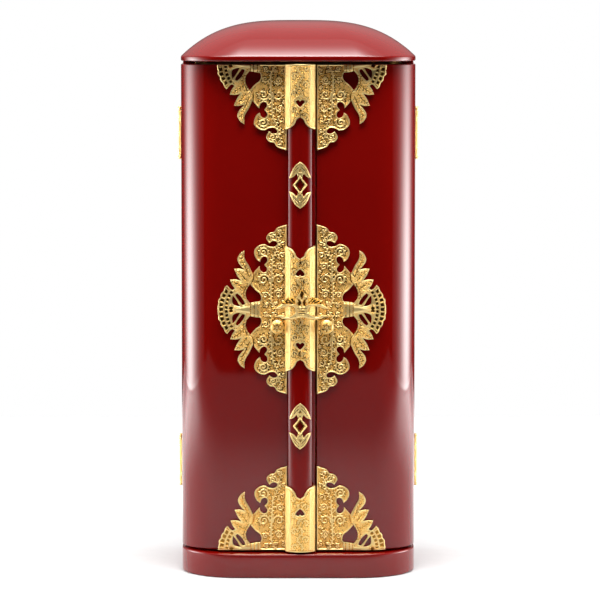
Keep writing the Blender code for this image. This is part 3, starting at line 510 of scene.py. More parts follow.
class Bench:
    """A material's or light's node tree, where nodes are added by type."""

    def __init__(self, tree):
        self.tree = tree

    def node(self, kind, inputs=(), output=0, stops=None, **settings):
        """Add a node: its settings first, then the values or links of its sockets, and return one output."""
        made = self.tree.nodes.new(kind)
        for name, value in settings.items():
            setattr(made, name, value)
        if stops:
            ramp = made.color_ramp
            while len(ramp.elements) < len(stops):
                ramp.elements.new(0.5)
            for element, (place, colour) in zip(ramp.elements, stops):
                element.position = place
                element.color = colour
        pairs = inputs.items() if isinstance(inputs, dict) else enumerate(inputs)
        for name, value in pairs:
            self.feed(made.inputs[name], value)
        return Signal(self, made.outputs[output])

    def feed(self, socket, value):
        """Link a signal to a socket or set the socket's own value."""
        if isinstance(value, Signal):
            self.tree.links.new(value.socket, socket)
        else:
            socket.default_value = value

    def mix(self, factor, first, second):
        """A colour between two."""
        return self.node("ShaderNodeMix", {0: factor, 6: first, 7: second}, 2, data_type="RGBA")

    def ramp(self, value, low, high):
        """0 below low, 1 above high, smooth between."""
        return self.node("ShaderNodeMapRange", {0: value, 1: low, 2: high}, interpolation_type="SMOOTHSTEP")

    def noise(self, place, scale, detail=3.0):
        """Fractal noise from 0 to 1 at so many bumps a metre."""
        return self.node("ShaderNodeTexNoise", {"Vector": place, "Scale": scale, "Detail": detail})


class Signal:
    """A socket's value, on which arithmetic adds Math nodes."""

    def __init__(self, bench, socket):
        self.bench = bench
        self.socket = socket

    def _with(self, operation, *values):
        return self.bench.node("ShaderNodeMath", values, operation=operation)

    def __add__(self, other):
        return self._with("ADD", self, other)

    def __radd__(self, other):
        return self._with("ADD", other, self)

    def __sub__(self, other):
        return self._with("SUBTRACT", self, other)

    def __rsub__(self, other):
        return self._with("SUBTRACT", other, self)

    def __mul__(self, other):
        return self._with("MULTIPLY", self, other)

    def __rmul__(self, other):
        return self._with("MULTIPLY", other, self)

    def __truediv__(self, other):
        return self._with("DIVIDE", self, other)


def solid(colour):
    """A colour with its alpha."""
    return (*colour, 1.0)


def new_finish(name):
    """A material with a Principled shader: its bench and shader node."""
    material = bpy.data.materials.new(name)
    material.use_nodes = True
    bench = Bench(material.node_tree)
    return material, bench, material.node_tree.nodes["Principled BSDF"]


def object_place(bench):
    """Object coordinates, which are the shrine's own metres."""
    return bench.node("ShaderNodeTexCoord", output=3)


def make_lacquer(look):
    """Polished red lacquer: cloudy depth, faint polishing marks and the gentlest unevenness."""
    material, bench, shader = new_finish("polished_red_lacquer")
    place = object_place(bench)
    clouds = bench.noise(place, 45.0, 4.0)
    marks = bench.noise(place, 900.0, 2.0)
    bench.feed(shader.inputs["Base Color"], bench.mix(clouds, solid(look.colour), solid(look.deep)))
    bench.feed(shader.inputs["Roughness"], look.gloss + 0.02 * marks)
    waves = bench.noise(place, 30.0, 1.0)
    bump = bench.node("ShaderNodeBump", {"Strength": 0.05, "Distance": 0.2 * MM, "Height": waves})
    bench.feed(shader.inputs["Normal"], bump)
    shader.inputs["IOR"].default_value = 1.5
    return material


def make_gilt(look):
    """Gilded brass: pale where raised, warm, granulated and finely chased on the ground, dark in its lines.

    The ground's warmth is painted reflected light, and the dark of the lines is partly painted shade. The
    dark of the lines is fainter near the base, as in the photograph.
    """
    material, bench, shader = new_finish("chased_gilt_brass")
    place = object_place(bench)
    recess = bench.node("ShaderNodeAttribute", output=2, attribute_name="recess")
    patches = bench.noise(place, 260.0, 3.0)
    speck = bench.noise(place, 2300.0, 2.0)
    tint = bench.mix(patches, solid(look.colour), solid([part * 0.92 for part in look.colour]))
    # Where sunk, the gold turns to the warmer ground colour, which is painted reflected light.
    warm = bench.mix(bench.ramp(recess, 0.05, 0.55), tint, solid(look.ground))
    grained = bench.ramp(recess, 0.0, 0.3)
    flow = bench.node("ShaderNodeMath", [bench.noise(place, 560.0, 1.0) * 6.0], operation="FRACT")
    away = bench.node("ShaderNodeMath", [flow - 0.5], operation="ABSOLUTE")
    chased = (1.0 - bench.ramp(away, 0.07, 0.2)) * bench.ramp(recess, 0.08, 0.3)
    high = bench.ramp(bench.node("ShaderNodeSeparateXYZ", [place], 2), 20 * MM, 60 * MM)
    # Dark where the recess attribute is high: engraved lines and pits, and the painted shade that the sheets
    # carry in it.
    dark = bench.ramp(recess + 0.4 * chased + 1.1 * (speck - 0.5) * grained, 0.65, 0.88) * (0.5 + 0.5 * high)
    bench.feed(shader.inputs["Base Color"], bench.mix(dark, warm, solid(look.recess)))
    bench.feed(shader.inputs["Roughness"], look.polish - 0.04 + 0.08 * patches + 0.22 * recess)
    shader.inputs["Metallic"].default_value = 1.0
    beads = bench.node("ShaderNodeTexVoronoi", {"Vector": place, "Scale": 2600.0}, 0, feature="F1")
    height = grained * (1.0 - beads) * 0.8 + 0.55 * speck - 0.9 * chased
    bump = bench.node("ShaderNodeBump", {"Strength": 1.0, "Distance": 0.15 * MM, "Height": height})
    bench.feed(shader.inputs["Normal"], bump)
    return material


def make_gold_leaf(look):
    """Gold leaf laid in squares over the inside."""
    material, bench, shader = new_finish("gold_leaf_inside")
    place = object_place(bench)
    wrinkle = bench.noise(place, 350.0, 4.0)
    across = bench.node("ShaderNodeSeparateXYZ", [place])
    up = bench.node("ShaderNodeSeparateXYZ", [place], 2)
    inside = []
    for axis in (across, up):
        phase = bench.node("ShaderNodeMath", [axis * look.squares], operation="FRACT")
        edge = bench.node("ShaderNodeMath", [phase - 0.5], operation="ABSOLUTE")
        inside.append(1.0 - bench.ramp(edge, 0.475, 0.49))
    warm = bench.mix(wrinkle, solid(look.colour), solid(look.wrinkled))
    bench.feed(shader.inputs["Base Color"], bench.mix(inside[0] * inside[1], solid(look.overlap), warm))
    bench.feed(shader.inputs["Roughness"], 0.28 + 0.16 * wrinkle)
    shader.inputs["Metallic"].default_value = 1.0
    bump = bench.node("ShaderNodeBump", {"Strength": 0.25, "Distance": 0.05 * MM, "Height": wrinkle})
    bench.feed(shader.inputs["Normal"], bump)
    return material


MADE_FINISHES = {}


def finish(name):
    """A finish by its name, made when it is first asked for."""
    if name not in MADE_FINISHES:
        scene = bpy.context.scene
        makers = {
            LACQUER_SLOT: (make_lacquer, scene.shrine_lacquer),
            GILT_SLOT: (make_gilt, scene.shrine_gilt),
            GOLD_LEAF: (make_gold_leaf, scene.shrine_leaf),
        }
        maker, look = makers[name]
        MADE_FINISHES[name] = maker(look)
    return MADE_FINISHES[name]


def on_curve(controls, t):
    """A point on a cubic curve."""
    a, b, c, d = controls
    s = 1 - t
    return a * s ** 3 + b * 3 * s * s * t + c * 3 * s * t * t + d * t ** 3


def rounded(outline, step):
    """Points a step apart at most along a closed outline whose unsharp points are rounded."""
    points = [Vector((x, y)) for x, y, _ in outline]
    count = len(points)
    result = []
    for i, start in enumerate(points):
        end = points[(i + 1) % count]
        reach = (end - start).length * HANDLE_REACH
        straight = (end - start).normalized()
        leave = straight if outline[i][2] else (end - points[i - 1]).normalized()
        arrive = straight if outline[(i + 1) % count][2] else (points[(i + 2) % count] - start).normalized()
        controls = (start, start + leave * reach, end - arrive * reach, end)
        pieces = max(1, math.ceil((end - start).length * 1.1 / step))
        result += [tuple(on_curve(controls, k / pieces)) for k in range(pieces)]
    return result


def mirrored(half):
    """A symmetric closed outline from its right half."""
    left = [(-x, y, sharp) for x, y, sharp in reversed(half) if x > 0]
    return list(half) + left


def scaled(outline, across, up, centre=(0.0, 0.0)):
    """An outline in millimetres from its drawn shares."""
    return [(centre[0] + x * across, centre[1] + y * up, sharp) for x, y, sharp in outline]


def through(points, step=0.15):
    """Points a step apart along a smooth open line through these."""
    path = [Vector(point) for point in points]
    path = [path[0] * 2 - path[1], *path, path[-1] * 2 - path[-2]]
    result = []
    for a, b, c, d in zip(path, path[1:], path[2:], path[3:]):
        pieces = max(1, math.ceil((c - b).length / step))
        controls = (b, b + (c - a) / 6, c - (d - b) / 6, c)
        result += [on_curve(controls, k / pieces) for k in range(pieces)]
    return np.array([tuple(point) for point in result] + [tuple(path[-2])])


def edges_of(line, closed=False):
    """Starts and ends of the short edges along a line of points."""
    line = np.asarray(line, float)
    following = np.roll(line, -1, axis=0)
    return (line, following) if closed else (line[:-1], following[:-1])


def distances(points, starts, ends, widths=None, reach=1.0):
    """Distance of each point to the nearest edge, up to reach, or with half widths how full its stroke is."""
    if widths is not None:
        reach = max(widths[0].max(), widths[1].max())
    result = np.full(len(points), reach if widths is None else 0.0)
    along = ends - starts
    lengths = np.maximum((along ** 2).sum(axis=1), 1e-12)
    low, high = np.minimum(starts, ends) - reach, np.maximum(starts, ends) + reach
    cells, owner = np.unique(np.floor(points / SEARCH_CELL), axis=0, return_inverse=True)
    order = np.argsort(owner.ravel(), kind="stable")
    bounds = np.searchsorted(owner.ravel()[order], np.arange(len(cells) + 1))
    for number, cell in enumerate(cells * SEARCH_CELL):
        close = np.all((high >= cell) & (low <= cell + SEARCH_CELL), axis=1)
        if not close.any():
            continue
        members = order[bounds[number]:bounds[number + 1]]
        gap = points[members][:, None, :] - starts[close][None]
        run = along[close][None]
        share = np.clip((gap * run).sum(axis=2) / lengths[close], 0, 1)
        away = ((gap - share[:, :, None] * run) ** 2).sum(axis=2)
        if widths is None:
            result[members] = np.minimum(reach, np.sqrt(away.min(axis=1)))
        else:
            half = widths[0][close] + (widths[1] - widths[0])[close] * share
            result[members] = np.sqrt(np.clip(1 - away / half ** 2, 0, 1).max(axis=1))
    return result


def crossings(y, starts, ends):
    """Where the outlines cross the level line at this height, from left to right."""
    straddles = (starts[:, 1] > y) != (ends[:, 1] > y)
    a, b = starts[straddles], ends[straddles]
    return np.sort(a[:, 0] + (y - a[:, 1]) / (b[:, 1] - a[:, 1]) * (b[:, 0] - a[:, 0]))


def within(points, starts, ends):
    """Whether each point lies inside the closed outlines."""
    result = np.empty(len(points), bool)
    for y in np.unique(points[:, 1]):
        row = points[:, 1] == y
        result[row] = np.searchsorted(crossings(y, starts, ends), points[row, 0]) % 2 == 1
    return result


def filled(loops, inner):
    """Triangles that fill closed outlines, through the inner points too. The outlines' points come first."""
    points = [point for loop in loops for point in loop]
    pairs = []
    first = 0
    for loop in loops:
        count = len(loop)
        pairs += [(first + i, first + (i + 1) % count) for i in range(count)]
        first += count
    places = np.array(points + [tuple(point) for point in inner])
    faces, origins = delaunay_2d_cdt([Vector(place) for place in places], pairs, [], 0, 1e-5)[2:4]
    sources = np.array([origin[0] if origin else -1 for origin in origins])
    triangles = sources[np.array(faces)]
    triangles = triangles[(triangles >= 0).all(axis=1)]
    doubtful = (triangles < len(points)).all(axis=1)
    keep = np.ones(len(triangles), bool)
    keep[doubtful] = within(places[triangles[doubtful]].mean(axis=1), *outline_edges(loops))
    return places, triangles[keep], pairs


def outline_edges(loops):
    """Starts and ends of all edges of closed outlines."""
    parts = [edges_of(loop, True) for loop in loops]
    return np.concatenate([part[0] for part in parts]), np.concatenate([part[1] for part in parts])


def even_grid(loops, pitch, margin):
    """Points of a staggered grid inside the outlines, a margin away from them."""
    corners = np.array([point for loop in loops for point in loop])
    low, high = corners.min(axis=0), corners.max(axis=0)
    starts, ends = outline_edges(loops)
    rows = []
    for number, y in enumerate(np.arange(low[1] + pitch / 3, high[1], pitch * 0.87)):
        xs = np.arange(low[0] + (number % 2) * pitch / 2, high[0], pitch)
        xs = xs[np.searchsorted(crossings(y, starts, ends), xs) % 2 == 1]
        rows.append(np.column_stack([xs, np.full(len(xs), y)]))
    grid = np.concatenate(rows)
    return grid[distances(grid, starts, ends, reach=margin + 0.1) > margin]


def inset_ring(loops, gap):
    """Points a small gap inside the outlines, where there is room."""
    starts, ends = outline_edges(loops)
    along = ends - starts
    along /= np.maximum(np.linalg.norm(along, axis=1, keepdims=True), 1e-9)
    side = np.column_stack([-along[:, 1], along[:, 0]])
    middles = (starts + ends) / 2
    ring = np.concatenate([middles + side * gap, middles - side * gap])
    ring = ring[within(ring, starts, ends)]
    return ring[distances(ring, starts, ends) > gap * 0.93]


def sheet_plan(loops, relief, pitch, ring_gaps=(0.05, 0.12)):
    """The drawing of a chased sheet: points, triangles, height, darkness and outline, then its plain back's.

    relief takes points and their distance to the outline, in millimetres, and gives height and darkness.
    Sheets as fine as these are beyond the edit mode tools, so their faces are laid out here.
    """
    rings = [inset_ring(loops, gap) for gap in ring_gaps]
    grid = even_grid(loops, pitch, ring_gaps[-1] + 0.55 * pitch)
    points, triangles, pairs = filled(loops, np.concatenate([*rings, grid]))
    back_points, back_triangles, _ = filled(loops, even_grid(loops, 0.9, 0.5))
    height, recess = relief(points, distances(points, *outline_edges(loops)))
    return points, triangles, height, recess, pairs, back_points, back_triangles


def chased_sheet(name, plan, bend, thickness):
    """A pierced sheet made from its plan. bend puts (points, height) in place in metres."""
    points, triangles, height, recess, pairs, back_points, back_triangles = plan
    front = bend(points, height)
    back = bend(back_points, np.full(len(back_points), -thickness))
    shift = len(front)
    faces = triangles.tolist()
    faces += (back_triangles[:, ::-1] + shift).tolist()
    faces += [(a, a + shift, b + shift, b) for a, b in pairs]
    mesh = bpy.data.meshes.new(name)
    mesh.from_pydata(np.concatenate([front, back]).tolist(), [], faces)
    layer = mesh.attributes.new("recess", "FLOAT", "POINT")
    layer.data.foreach_set("value", np.concatenate([recess, np.zeros(len(back))]).astype(np.float32))
    obj = bpy.data.objects.new(name, mesh)
    bpy.context.scene.collection.objects.link(obj)
    begin_edit(obj, "VERT")
    bpy.ops.mesh.select_all(action="SELECT")
    bpy.ops.mesh.normals_make_consistent(inside=False)
    end_edit()
    smooth(obj, 50)
    return obj


class Strokes:
    """Chased lines of changing width."""

    def __init__(self):
        self.starts, self.ends, self.first, self.last = [], [], [], []

    def line(self, points, half_widths):
        """Add a line whose half width runs through the given ones."""
        points = np.asarray(points, float)
        share = np.linspace(0, 1, len(points))
        widths = np.interp(share, np.linspace(0, 1, len(half_widths)), half_widths)
        self.starts.append(points[:-1])
        self.ends.append(points[1:])
        self.first.append(widths[:-1])
        self.last.append(widths[1:])

    def curl(self, centre, radius, start, sweep, half_width):
        """Add a curl that winds in and ends in a bead."""
        count = max(12, int(abs(sweep) / 12))
        share = np.linspace(0, 1, count)
        angle = np.radians(start + sweep * share)
        reach = radius * (1 - 0.82 * share ** 0.85)
        points = np.column_stack([centre[0] + reach * np.cos(angle), centre[1] + reach * np.sin(angle)])
        self.line(points, (half_width, half_width * 1.1, half_width * 0.6))
        self.line([points[-1], points[-1] + (0.01, 0)], (half_width * 1.15, half_width * 1.15))
        return points

    def leaflets(self, points, spacing, length, half_width, sides=(1, -1)):
        """Add small leaves leaning forward on a line's sides."""
        steps = np.linalg.norm(np.diff(points, axis=0), axis=1)
        along = np.concatenate([[0], np.cumsum(steps)])
        for number, place in enumerate(np.arange(spacing / 2, along[-1], spacing)):
            side = sides[number % len(sides)]
            base = np.array([np.interp(place, along, points[:, k]) for k in (0, 1)])
            ahead = np.array([np.interp(min(place + 0.1, along[-1]), along, points[:, k]) for k in (0, 1)])
            run = (ahead - base) / max(np.linalg.norm(ahead - base), 1e-9)
            out = np.array([-run[1], run[0]]) * side
            tip = base + out * length * 0.85 + run * length * 0.5
            middle = base + out * length * 0.5 + run * length * 0.15
            self.line([base, middle, tip], (half_width * 0.6, half_width, half_width * 0.25))

    def arrays(self):
        """All edges and their half widths."""
        return (np.concatenate(self.starts), np.concatenate(self.ends),
                (np.concatenate(self.first), np.concatenate(self.last)))

    def fullness(self, points, spread=0.0):
        """How high each point lies on the strokes, from 0 to 1, where these are widened by a spread."""
        starts, ends, widths = self.arrays()
        return distances(points, starts, ends, (widths[0] + spread, widths[1] + spread))

    def contour(self, points):
        """1 in a narrow line round the strokes, 0 on them and away from them."""
        return step_up(self.fullness(points, 0.22), 0.1, 0.5) * (1 - step_up(self.fullness(points), 0.2, 0.6))


def step_up(value, low, high):
    """0 below low, 1 above high, smooth between."""
    share = np.clip((value - low) / (high - low), 0, 1)
    return share * share * (3 - 2 * share)


def eased_edge(distance):
    """How far the sheet's cut edge is rounded down at this distance from it, in millimetres."""
    return -0.14 * np.clip(1 - distance / 0.12, 0, 1) ** 2


def plate_scrolls():
    """The vine, curls and leaflets on a quarter plate."""
    raised = Strokes()
    vine = through(VINE)
    raised.line(vine, (0.3, 0.34, 0.26, 0.16))
    raised.leaflets(vine, 0.62, 0.95, 0.22)
    for centre, radius, start, sweep in CURLS:
        width = 0.13 + 0.085 * radius
        points = raised.curl(centre, radius, start, sweep, width)
        outer = 1 if sweep < 0 else -1
        raised.leaflets(points[: len(points) // 2], 0.8, 0.4 + 0.3 * radius, 0.2, (outer,))
    return raised


def plate_grooves():
    """Leaf ribs, their side veins and the seam on a quarter plate."""
    cut = Strokes()
    cut.line(through(SEAM), (0.2, 0.2, 0.12))
    for rib in LEAF_RIBS:
        path = through(rib)
        cut.line(path, (0.16, 0.14, 0.05))
        cut.leaflets(path, 0.55, 0.95, 0.13)
    for p in COLLAR_RIBS:
        cut.line([(p, 0.0), (p, 2.3)], (0.16, 0.16))
    return cut


def plate_relief(sizes):
    """Height and darkness over a plate whose lower half mirrors its upper, or which has one half alone."""
    ground = sizes.ground / MM
    rim_half = sizes.rim / MM / 2
    raised, cut = plate_scrolls(), plate_grooves()
    stem = edges_of(rounded(mirrored_rows(STEM_HALF), 0.2), True)
    fan = edges_of(fan_region(), True)

    def relief(points, distance):
        folded = np.column_stack([points[:, 0], np.abs(points[:, 1])])
        p, q = folded.T
        rim = np.sqrt(np.clip(1 - ((distance - rim_half) / (rim_half * 1.25)) ** 2, 0, 1))
        scroll = raised.fullness(folded)
        groove = cut.fullness(folded)
        engraved = step_up(groove, 0.2, 0.9)
        on_stem = within(points, *stem)
        stem_depth = np.where(on_stem, distances(points, *stem), 0)
        on_fan = within(folded, *fan)
        leafy = (p > 10.85) & ~on_stem & ~on_fan | (q > 12.3) & (p > 10.9)
        grained = 0.3 * step_up(distance, 0.35, 0.6)
        level = np.maximum(scroll, rim)
        height = -ground + (ground + 0.1) * level
        # The dark line round the raised scrolls is painted shade at their foot; the sheet is not sunk there.
        recess = 0.34 + 0.6 * raised.contour(folded) * step_up(distance, 0.3, 0.5)
        recess = recess * (1 - step_up(level, 0.15, 0.6))
        crown = np.clip(distance / 0.9, 0, 1)
        plain = 0.02 + 0.1 * np.sqrt(crown) - 0.2 * groove
        height = np.where(leafy, plain, height)
        recess = np.where(leafy, np.maximum(engraved * 0.85, grained), recess)
        cells = fan_cells(folded) * step_up(distance, 0.3, 0.5)
        height = np.where(on_fan, 0.06 - 0.3 * cells, height)
        recess = np.where(on_fan, cells, recess)
        scrolled = ~(on_stem | leafy | on_fan)
        height = np.where(scrolled, height - 0.25 * groove, height)
        recess = np.where(scrolled, np.maximum(recess, engraved * 0.9), recess)
        dome = 0.3 * np.sqrt(np.clip(stem_depth / 0.7, 0, 1))
        height = np.where(on_stem, 0.02 + dome - 0.22 * groove, height)
        recess = np.where(on_stem, engraved * 0.8, recess)
        # Painted shade: a dark pit where the stem's end meets the fan, sunk a little too.
        tip = step_up(1.0 - np.hypot((p - 17.9) / 0.75, (q - 0.45) / 0.6), 0.0, 0.35) * ~on_stem
        height -= 0.3 * tip
        recess = np.maximum(recess, tip)
        return height + eased_edge(distance), recess

    return relief


def mirrored_rows(half):
    """A closed outline from its upper half, mirrored in the middle line."""
    lower = [(x, -y, sharp) for x, y, sharp in reversed(half) if y > 0]
    return list(half) + lower


def fan_region():
    """The fan's face on a quarter plate, reaching over the middle line."""
    edge = [(x, y) for x, y, _ in fan_edge()]
    return [(16.75, 6.75), (17.3, 7.1), (19.0, 8.4)] + [(x + 0.8, y) for x, y in edge[1:]] + [
        (23.0, -1.0), (18.8, -1.0), (18.6, 1.2), (17.55, 2.2), (17.55, 4.6), (16.6, 5.4)]


def fan_cells(points):
    """The fan's rows of sunk cells, laid like bricks: 1 inside a cell, 0 on the bars."""
    out = points - np.array(FAN_CENTRE)
    radius = np.hypot(out[:, 0], out[:, 1]) - 0.05 * points[:, 1]
    angle = np.degrees(np.arctan2(out[:, 1], out[:, 0]))
    result = np.zeros(len(points))
    for middle, tall, half, offset in FAN_ROWS:
        turn = (angle / FAN_PITCH + offset + 0.5) % 1.0 - 0.5
        across = np.abs(turn) * math.radians(FAN_PITCH) * middle
        inside = np.minimum(tall / 2 - np.abs(radius - middle), half - across)
        result = np.maximum(result, step_up(inside, -0.02, 0.16))
    return result


def fan_edge():
    """The scalloped outer edge of a plate's fan, from its tip to the middle line."""
    points = [(*FAN_TIP, 1)]
    reach = PLATE_DRAWN[0] - FAN_TIP[0]
    for i in range(FAN_SCALLOPS):
        for step, sharp in ((0.5, 0), (1.0, 1)):
            turn = (i + step) / FAN_SCALLOPS
            bulge = FAN_BULGE if not sharp else 0.0
            x = FAN_TIP[0] + (reach + bulge) * math.sin(turn * math.pi / 2)
            y = FAN_TIP[1] * (1 - turn) + bulge * (1 - turn)
            points.append((min(x, PLATE_DRAWN[0]), y, sharp))
    points[-1] = (PLATE_DRAWN[0], 0.0, 0)
    return points


def plate_loops(half, step):
    """Outline and openings of a plate: both halves, or the upper one."""
    quarter = list(SCROLLS) + list(LEAVES) + fan_edge()
    openings = [HEART_OPENING, *STAMEN_OPENINGS]
    if half:
        outline = [(0.0, 0.0, 1)] + quarter[:-1] + [(PLATE_DRAWN[0], 0.0, 1)]
    else:
        outline = quarter + [(x, -y, sharp) for x, y, sharp in reversed(quarter[:-1])]
        openings += [[(x, -y, sharp) for x, y, sharp in hole] for hole in openings]
    return [rounded(loop, step) for loop in (outline, *openings)]


def point_pitch(share):
    return bpy.context.scene.shrine_chasing.pitch / MM * share


def plate_bend(side, flip, edge_x, middle_z, face_y, bend_start):
    """Puts a drawn plate on its door: mirrored by side and flip, and bent back round the door's corner.

    bend_start is the distance from the middle where the corner begins, and the corner's radius.
    """
    start, radius = bend_start

    def bend(points, height):
        x = edge_x + side * points[:, 0] * MM
        z = middle_z + flip * points[:, 1] * MM
        lift = height * MM
        past = np.maximum(np.abs(x) - start, 0)
        turn = np.arcsin(np.clip(past / radius, 0, 0.99))
        return np.column_stack([
            x + np.sign(x) * np.sin(turn) * lift,
            face_y + radius * (1 - np.cos(turn)) - np.cos(turn) * lift,
            z,
        ])

    return bend


def strip_curve(sizes, half_width, grow, foot):
    """Half of the strip's section grown outwards, from the middle of its front to its foot, in millimetres.

    Gives each point's way along it, distance from the middle, distance off the seat and tilt.
    """
    depth, radius, shoulder = (size / MM for size in (sizes.depth, sizes.front_radius, sizes.shoulder))
    middle = depth - radius
    turn = math.asin((half_width - shoulder) / (radius - shoulder))
    tilts = np.concatenate([np.linspace(0, turn, 60), np.linspace(turn, math.pi / 2, 20)[1:]])
    on_front = tilts <= turn
    corner_out = middle + (radius - shoulder) * math.cos(turn)
    sine, cosine = np.sin(tilts), np.cos(tilts)
    across = np.where(on_front, (radius + grow) * sine, half_width - shoulder + (shoulder + grow) * sine)
    out = np.where(on_front, middle + (radius + grow) * cosine, corner_out + (shoulder + grow) * cosine)
    across, out, tilts = np.append(across, across[-1]), np.append(out, foot), np.append(tilts, tilts[-1])
    along = np.concatenate([[0], np.cumsum(np.hypot(np.diff(across), np.diff(out)))])
    return along, across, out, tilts


def wrap_bend(axis_x, seat_y, curve):
    """Wraps a drawn sheet over the upright strip: x is the way round its section, y is the height."""
    along, across, out, tilts = curve

    def bend(points, height):
        way, side = np.abs(points[:, 0]), np.sign(points[:, 0])
        tilt = np.interp(way, along, tilts)
        reach = np.interp(way, along, across) + height * np.sin(tilt)
        off = np.interp(way, along, out) + height * np.cos(tilt)
        return np.column_stack([axis_x + side * reach * MM, seat_y - off * MM, points[:, 1] * MM])

    return bend


def round_to_flat(line, curve):
    """Points seen from the front, as points on the unrolled strip cover."""
    along, across = curve[:2]
    xs = np.append(across[:-1], across[-1] * SLEEVE_OVERREACH)
    points = np.array([tuple(point) for point in line])
    way = np.interp(np.abs(points[:, 0]), xs, along)
    return [(x, z) for x, z in zip(np.sign(points[:, 0]) * way, points[:, 1])]


class SHRINE_OT_base(bpy.types.Operator):
    """Make the board that the body stands on"""

    bl_idname = "shrine.base"
    bl_label = "Base"

    def execute(self, context):
        low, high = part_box("base")
        board = rounded_board("shrine_base", low, high, context.scene.shrine_body)
        begin_edit(board)
        lower, upper = level_rim(low.z), level_rim(high.z)
        pick("edges", lambda edge: lower(edge) or upper(edge))
        bpy.ops.mesh.bevel(offset=context.scene.shrine_body.edge_round, segments=5, affect="EDGES")
        end_edit()
        smooth(board)
        dress(board, "cabinet", LACQUER_SLOT, "base")
        return {"FINISHED"}


def rounded_board(name, low, high, sizes):
    """A board on the shrine's plan, with its four upright corners rounded."""
    board = new_block(name, low, high)
    begin_edit(board)
    pick("edges", upright_at(high.x, low.y))
    bpy.ops.mesh.bevel(offset=sizes.front_corner, segments=30, affect="EDGES")
    pick("edges", upright_at(high.x, high.y))
    bpy.ops.mesh.bevel(offset=sizes.back_corner, segments=18, affect="EDGES")
    end_edit()
    return board


class SHRINE_OT_cap(bpy.types.Operator):
    """Make the cushion-domed cap"""

    bl_idname = "shrine.cap"
    bl_label = "Cap"

    def execute(self, context):
        sizes = context.scene.shrine_body
        low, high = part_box("cap")
        rim_top = low.z + sizes.cap_rim
        rise = high.z - rim_top
        cap = rounded_board("shrine_cap", low, Vector((high.x, high.y, rim_top)), sizes)
        begin_edit(cap, "FACE")
        pick("faces", lambda face: face.normal.z > 0.9)
        scale, height = 1.0, rim_top
        for step in range(1, DOME_RINGS + 1):
            share = 1 - (step / (DOME_RINGS + 1)) ** 1.25 * 0.98
            new_height = rim_top + rise * (1 - share ** sizes.dome_power)
            bpy.ops.mesh.extrude_region_move(TRANSFORM_OT_translate={"value": (0, 0, new_height - height)})
            ratio = share / scale
            bpy.ops.transform.resize(value=(ratio, ratio, 1), center_override=(0, 0, new_height))
            scale, height = share, new_height
        bpy.ops.mesh.poke()
        bpy.ops.mesh.select_mode(type="EDGE")
        pick("edges", lambda edge: all(near(vert.co.z, rim_top) for vert in edge.verts))
        bpy.ops.mesh.bevel(offset=sizes.edge_round * 0.7, segments=3, affect="EDGES")
        pick("edges", level_rim(low.z))
        bpy.ops.mesh.bevel(offset=sizes.edge_round, segments=4, affect="EDGES")
        end_edit()
        smooth(cap)
        dress(cap, "cabinet", LACQUER_SLOT, "cap")
        return {"FINISHED"}


def shelled(board, keep, sizes):
    """Turn a shaped block into a bent board: keep the faces that pass the test and thicken them inwards."""
    begin_edit(board, "FACE")
    pick("faces", lambda face: not keep(face))
    bpy.ops.mesh.delete(type="FACE")
    end_edit()
    board.data.materials.append(finish(LACQUER_SLOT))
    board.data.materials.append(finish(GOLD_LEAF))
    wall = board.modifiers.new("wall", "SOLIDIFY")
    wall.thickness = sizes.wall
    wall.offset = -1.0
    wall.use_even_offset = True
    wall.material_offset = 1
    eased = board.modifiers.new("eased_edges", "BEVEL")
    eased.width = sizes.edge_round * 0.7
    eased.segments = 3
    eased.limit_method = "ANGLE"
    eased.angle_limit = math.radians(60)
    finish_modifiers(board)
    smooth(board)


class SHRINE_OT_cabinet_wall(bpy.types.Operator):
    """Make the bent shell of back and sides, gold-leafed inside"""

    bl_idname = "shrine.cabinet_wall"
    bl_label = "Cabinet wall"

    def execute(self, context):
        sizes = context.scene.shrine_body
        low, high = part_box("cabinet_wall")
        shell = new_block("shrine_cabinet_wall", low, high)
        begin_edit(shell)
        pick("edges", upright_at(high.x, high.y))
        bpy.ops.mesh.bevel(offset=sizes.back_corner, segments=20, affect="EDGES")
        end_edit()
        shelled(shell, lambda face: abs(face.normal.z) < 0.5 and face.normal.y > -0.5, sizes)
        dress(shell, "cabinet", LACQUER_SLOT, "cabinet_wall")
        return {"FINISHED"}


class SHRINE_OT_doors(bpy.types.Operator):
    """Make the two leaves that wrap the front corners"""

    bl_idname = "shrine.doors"
    bl_label = "Doors"

    def execute(self, context):
        sizes = context.scene.shrine_body
        for side, node in ((-1, "left_door"), (1, "right_door")):
            low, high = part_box(node)
            leaf = new_block("shrine_" + node, low, high)
            outer = high.x if side > 0 else low.x
            begin_edit(leaf)
            pick("edges", upright_edge(outer, low.y))
            bpy.ops.mesh.bevel(offset=sizes.door_corner, segments=30, affect="EDGES")
            end_edit()
            shelled(leaf, lambda face: abs(face.normal.z) < 0.5 and face.normal.y < 0.5
                    and face.normal.x * side > -0.5, sizes)
            dress(leaf, node, LACQUER_SLOT, node)
        return {"FINISHED"}


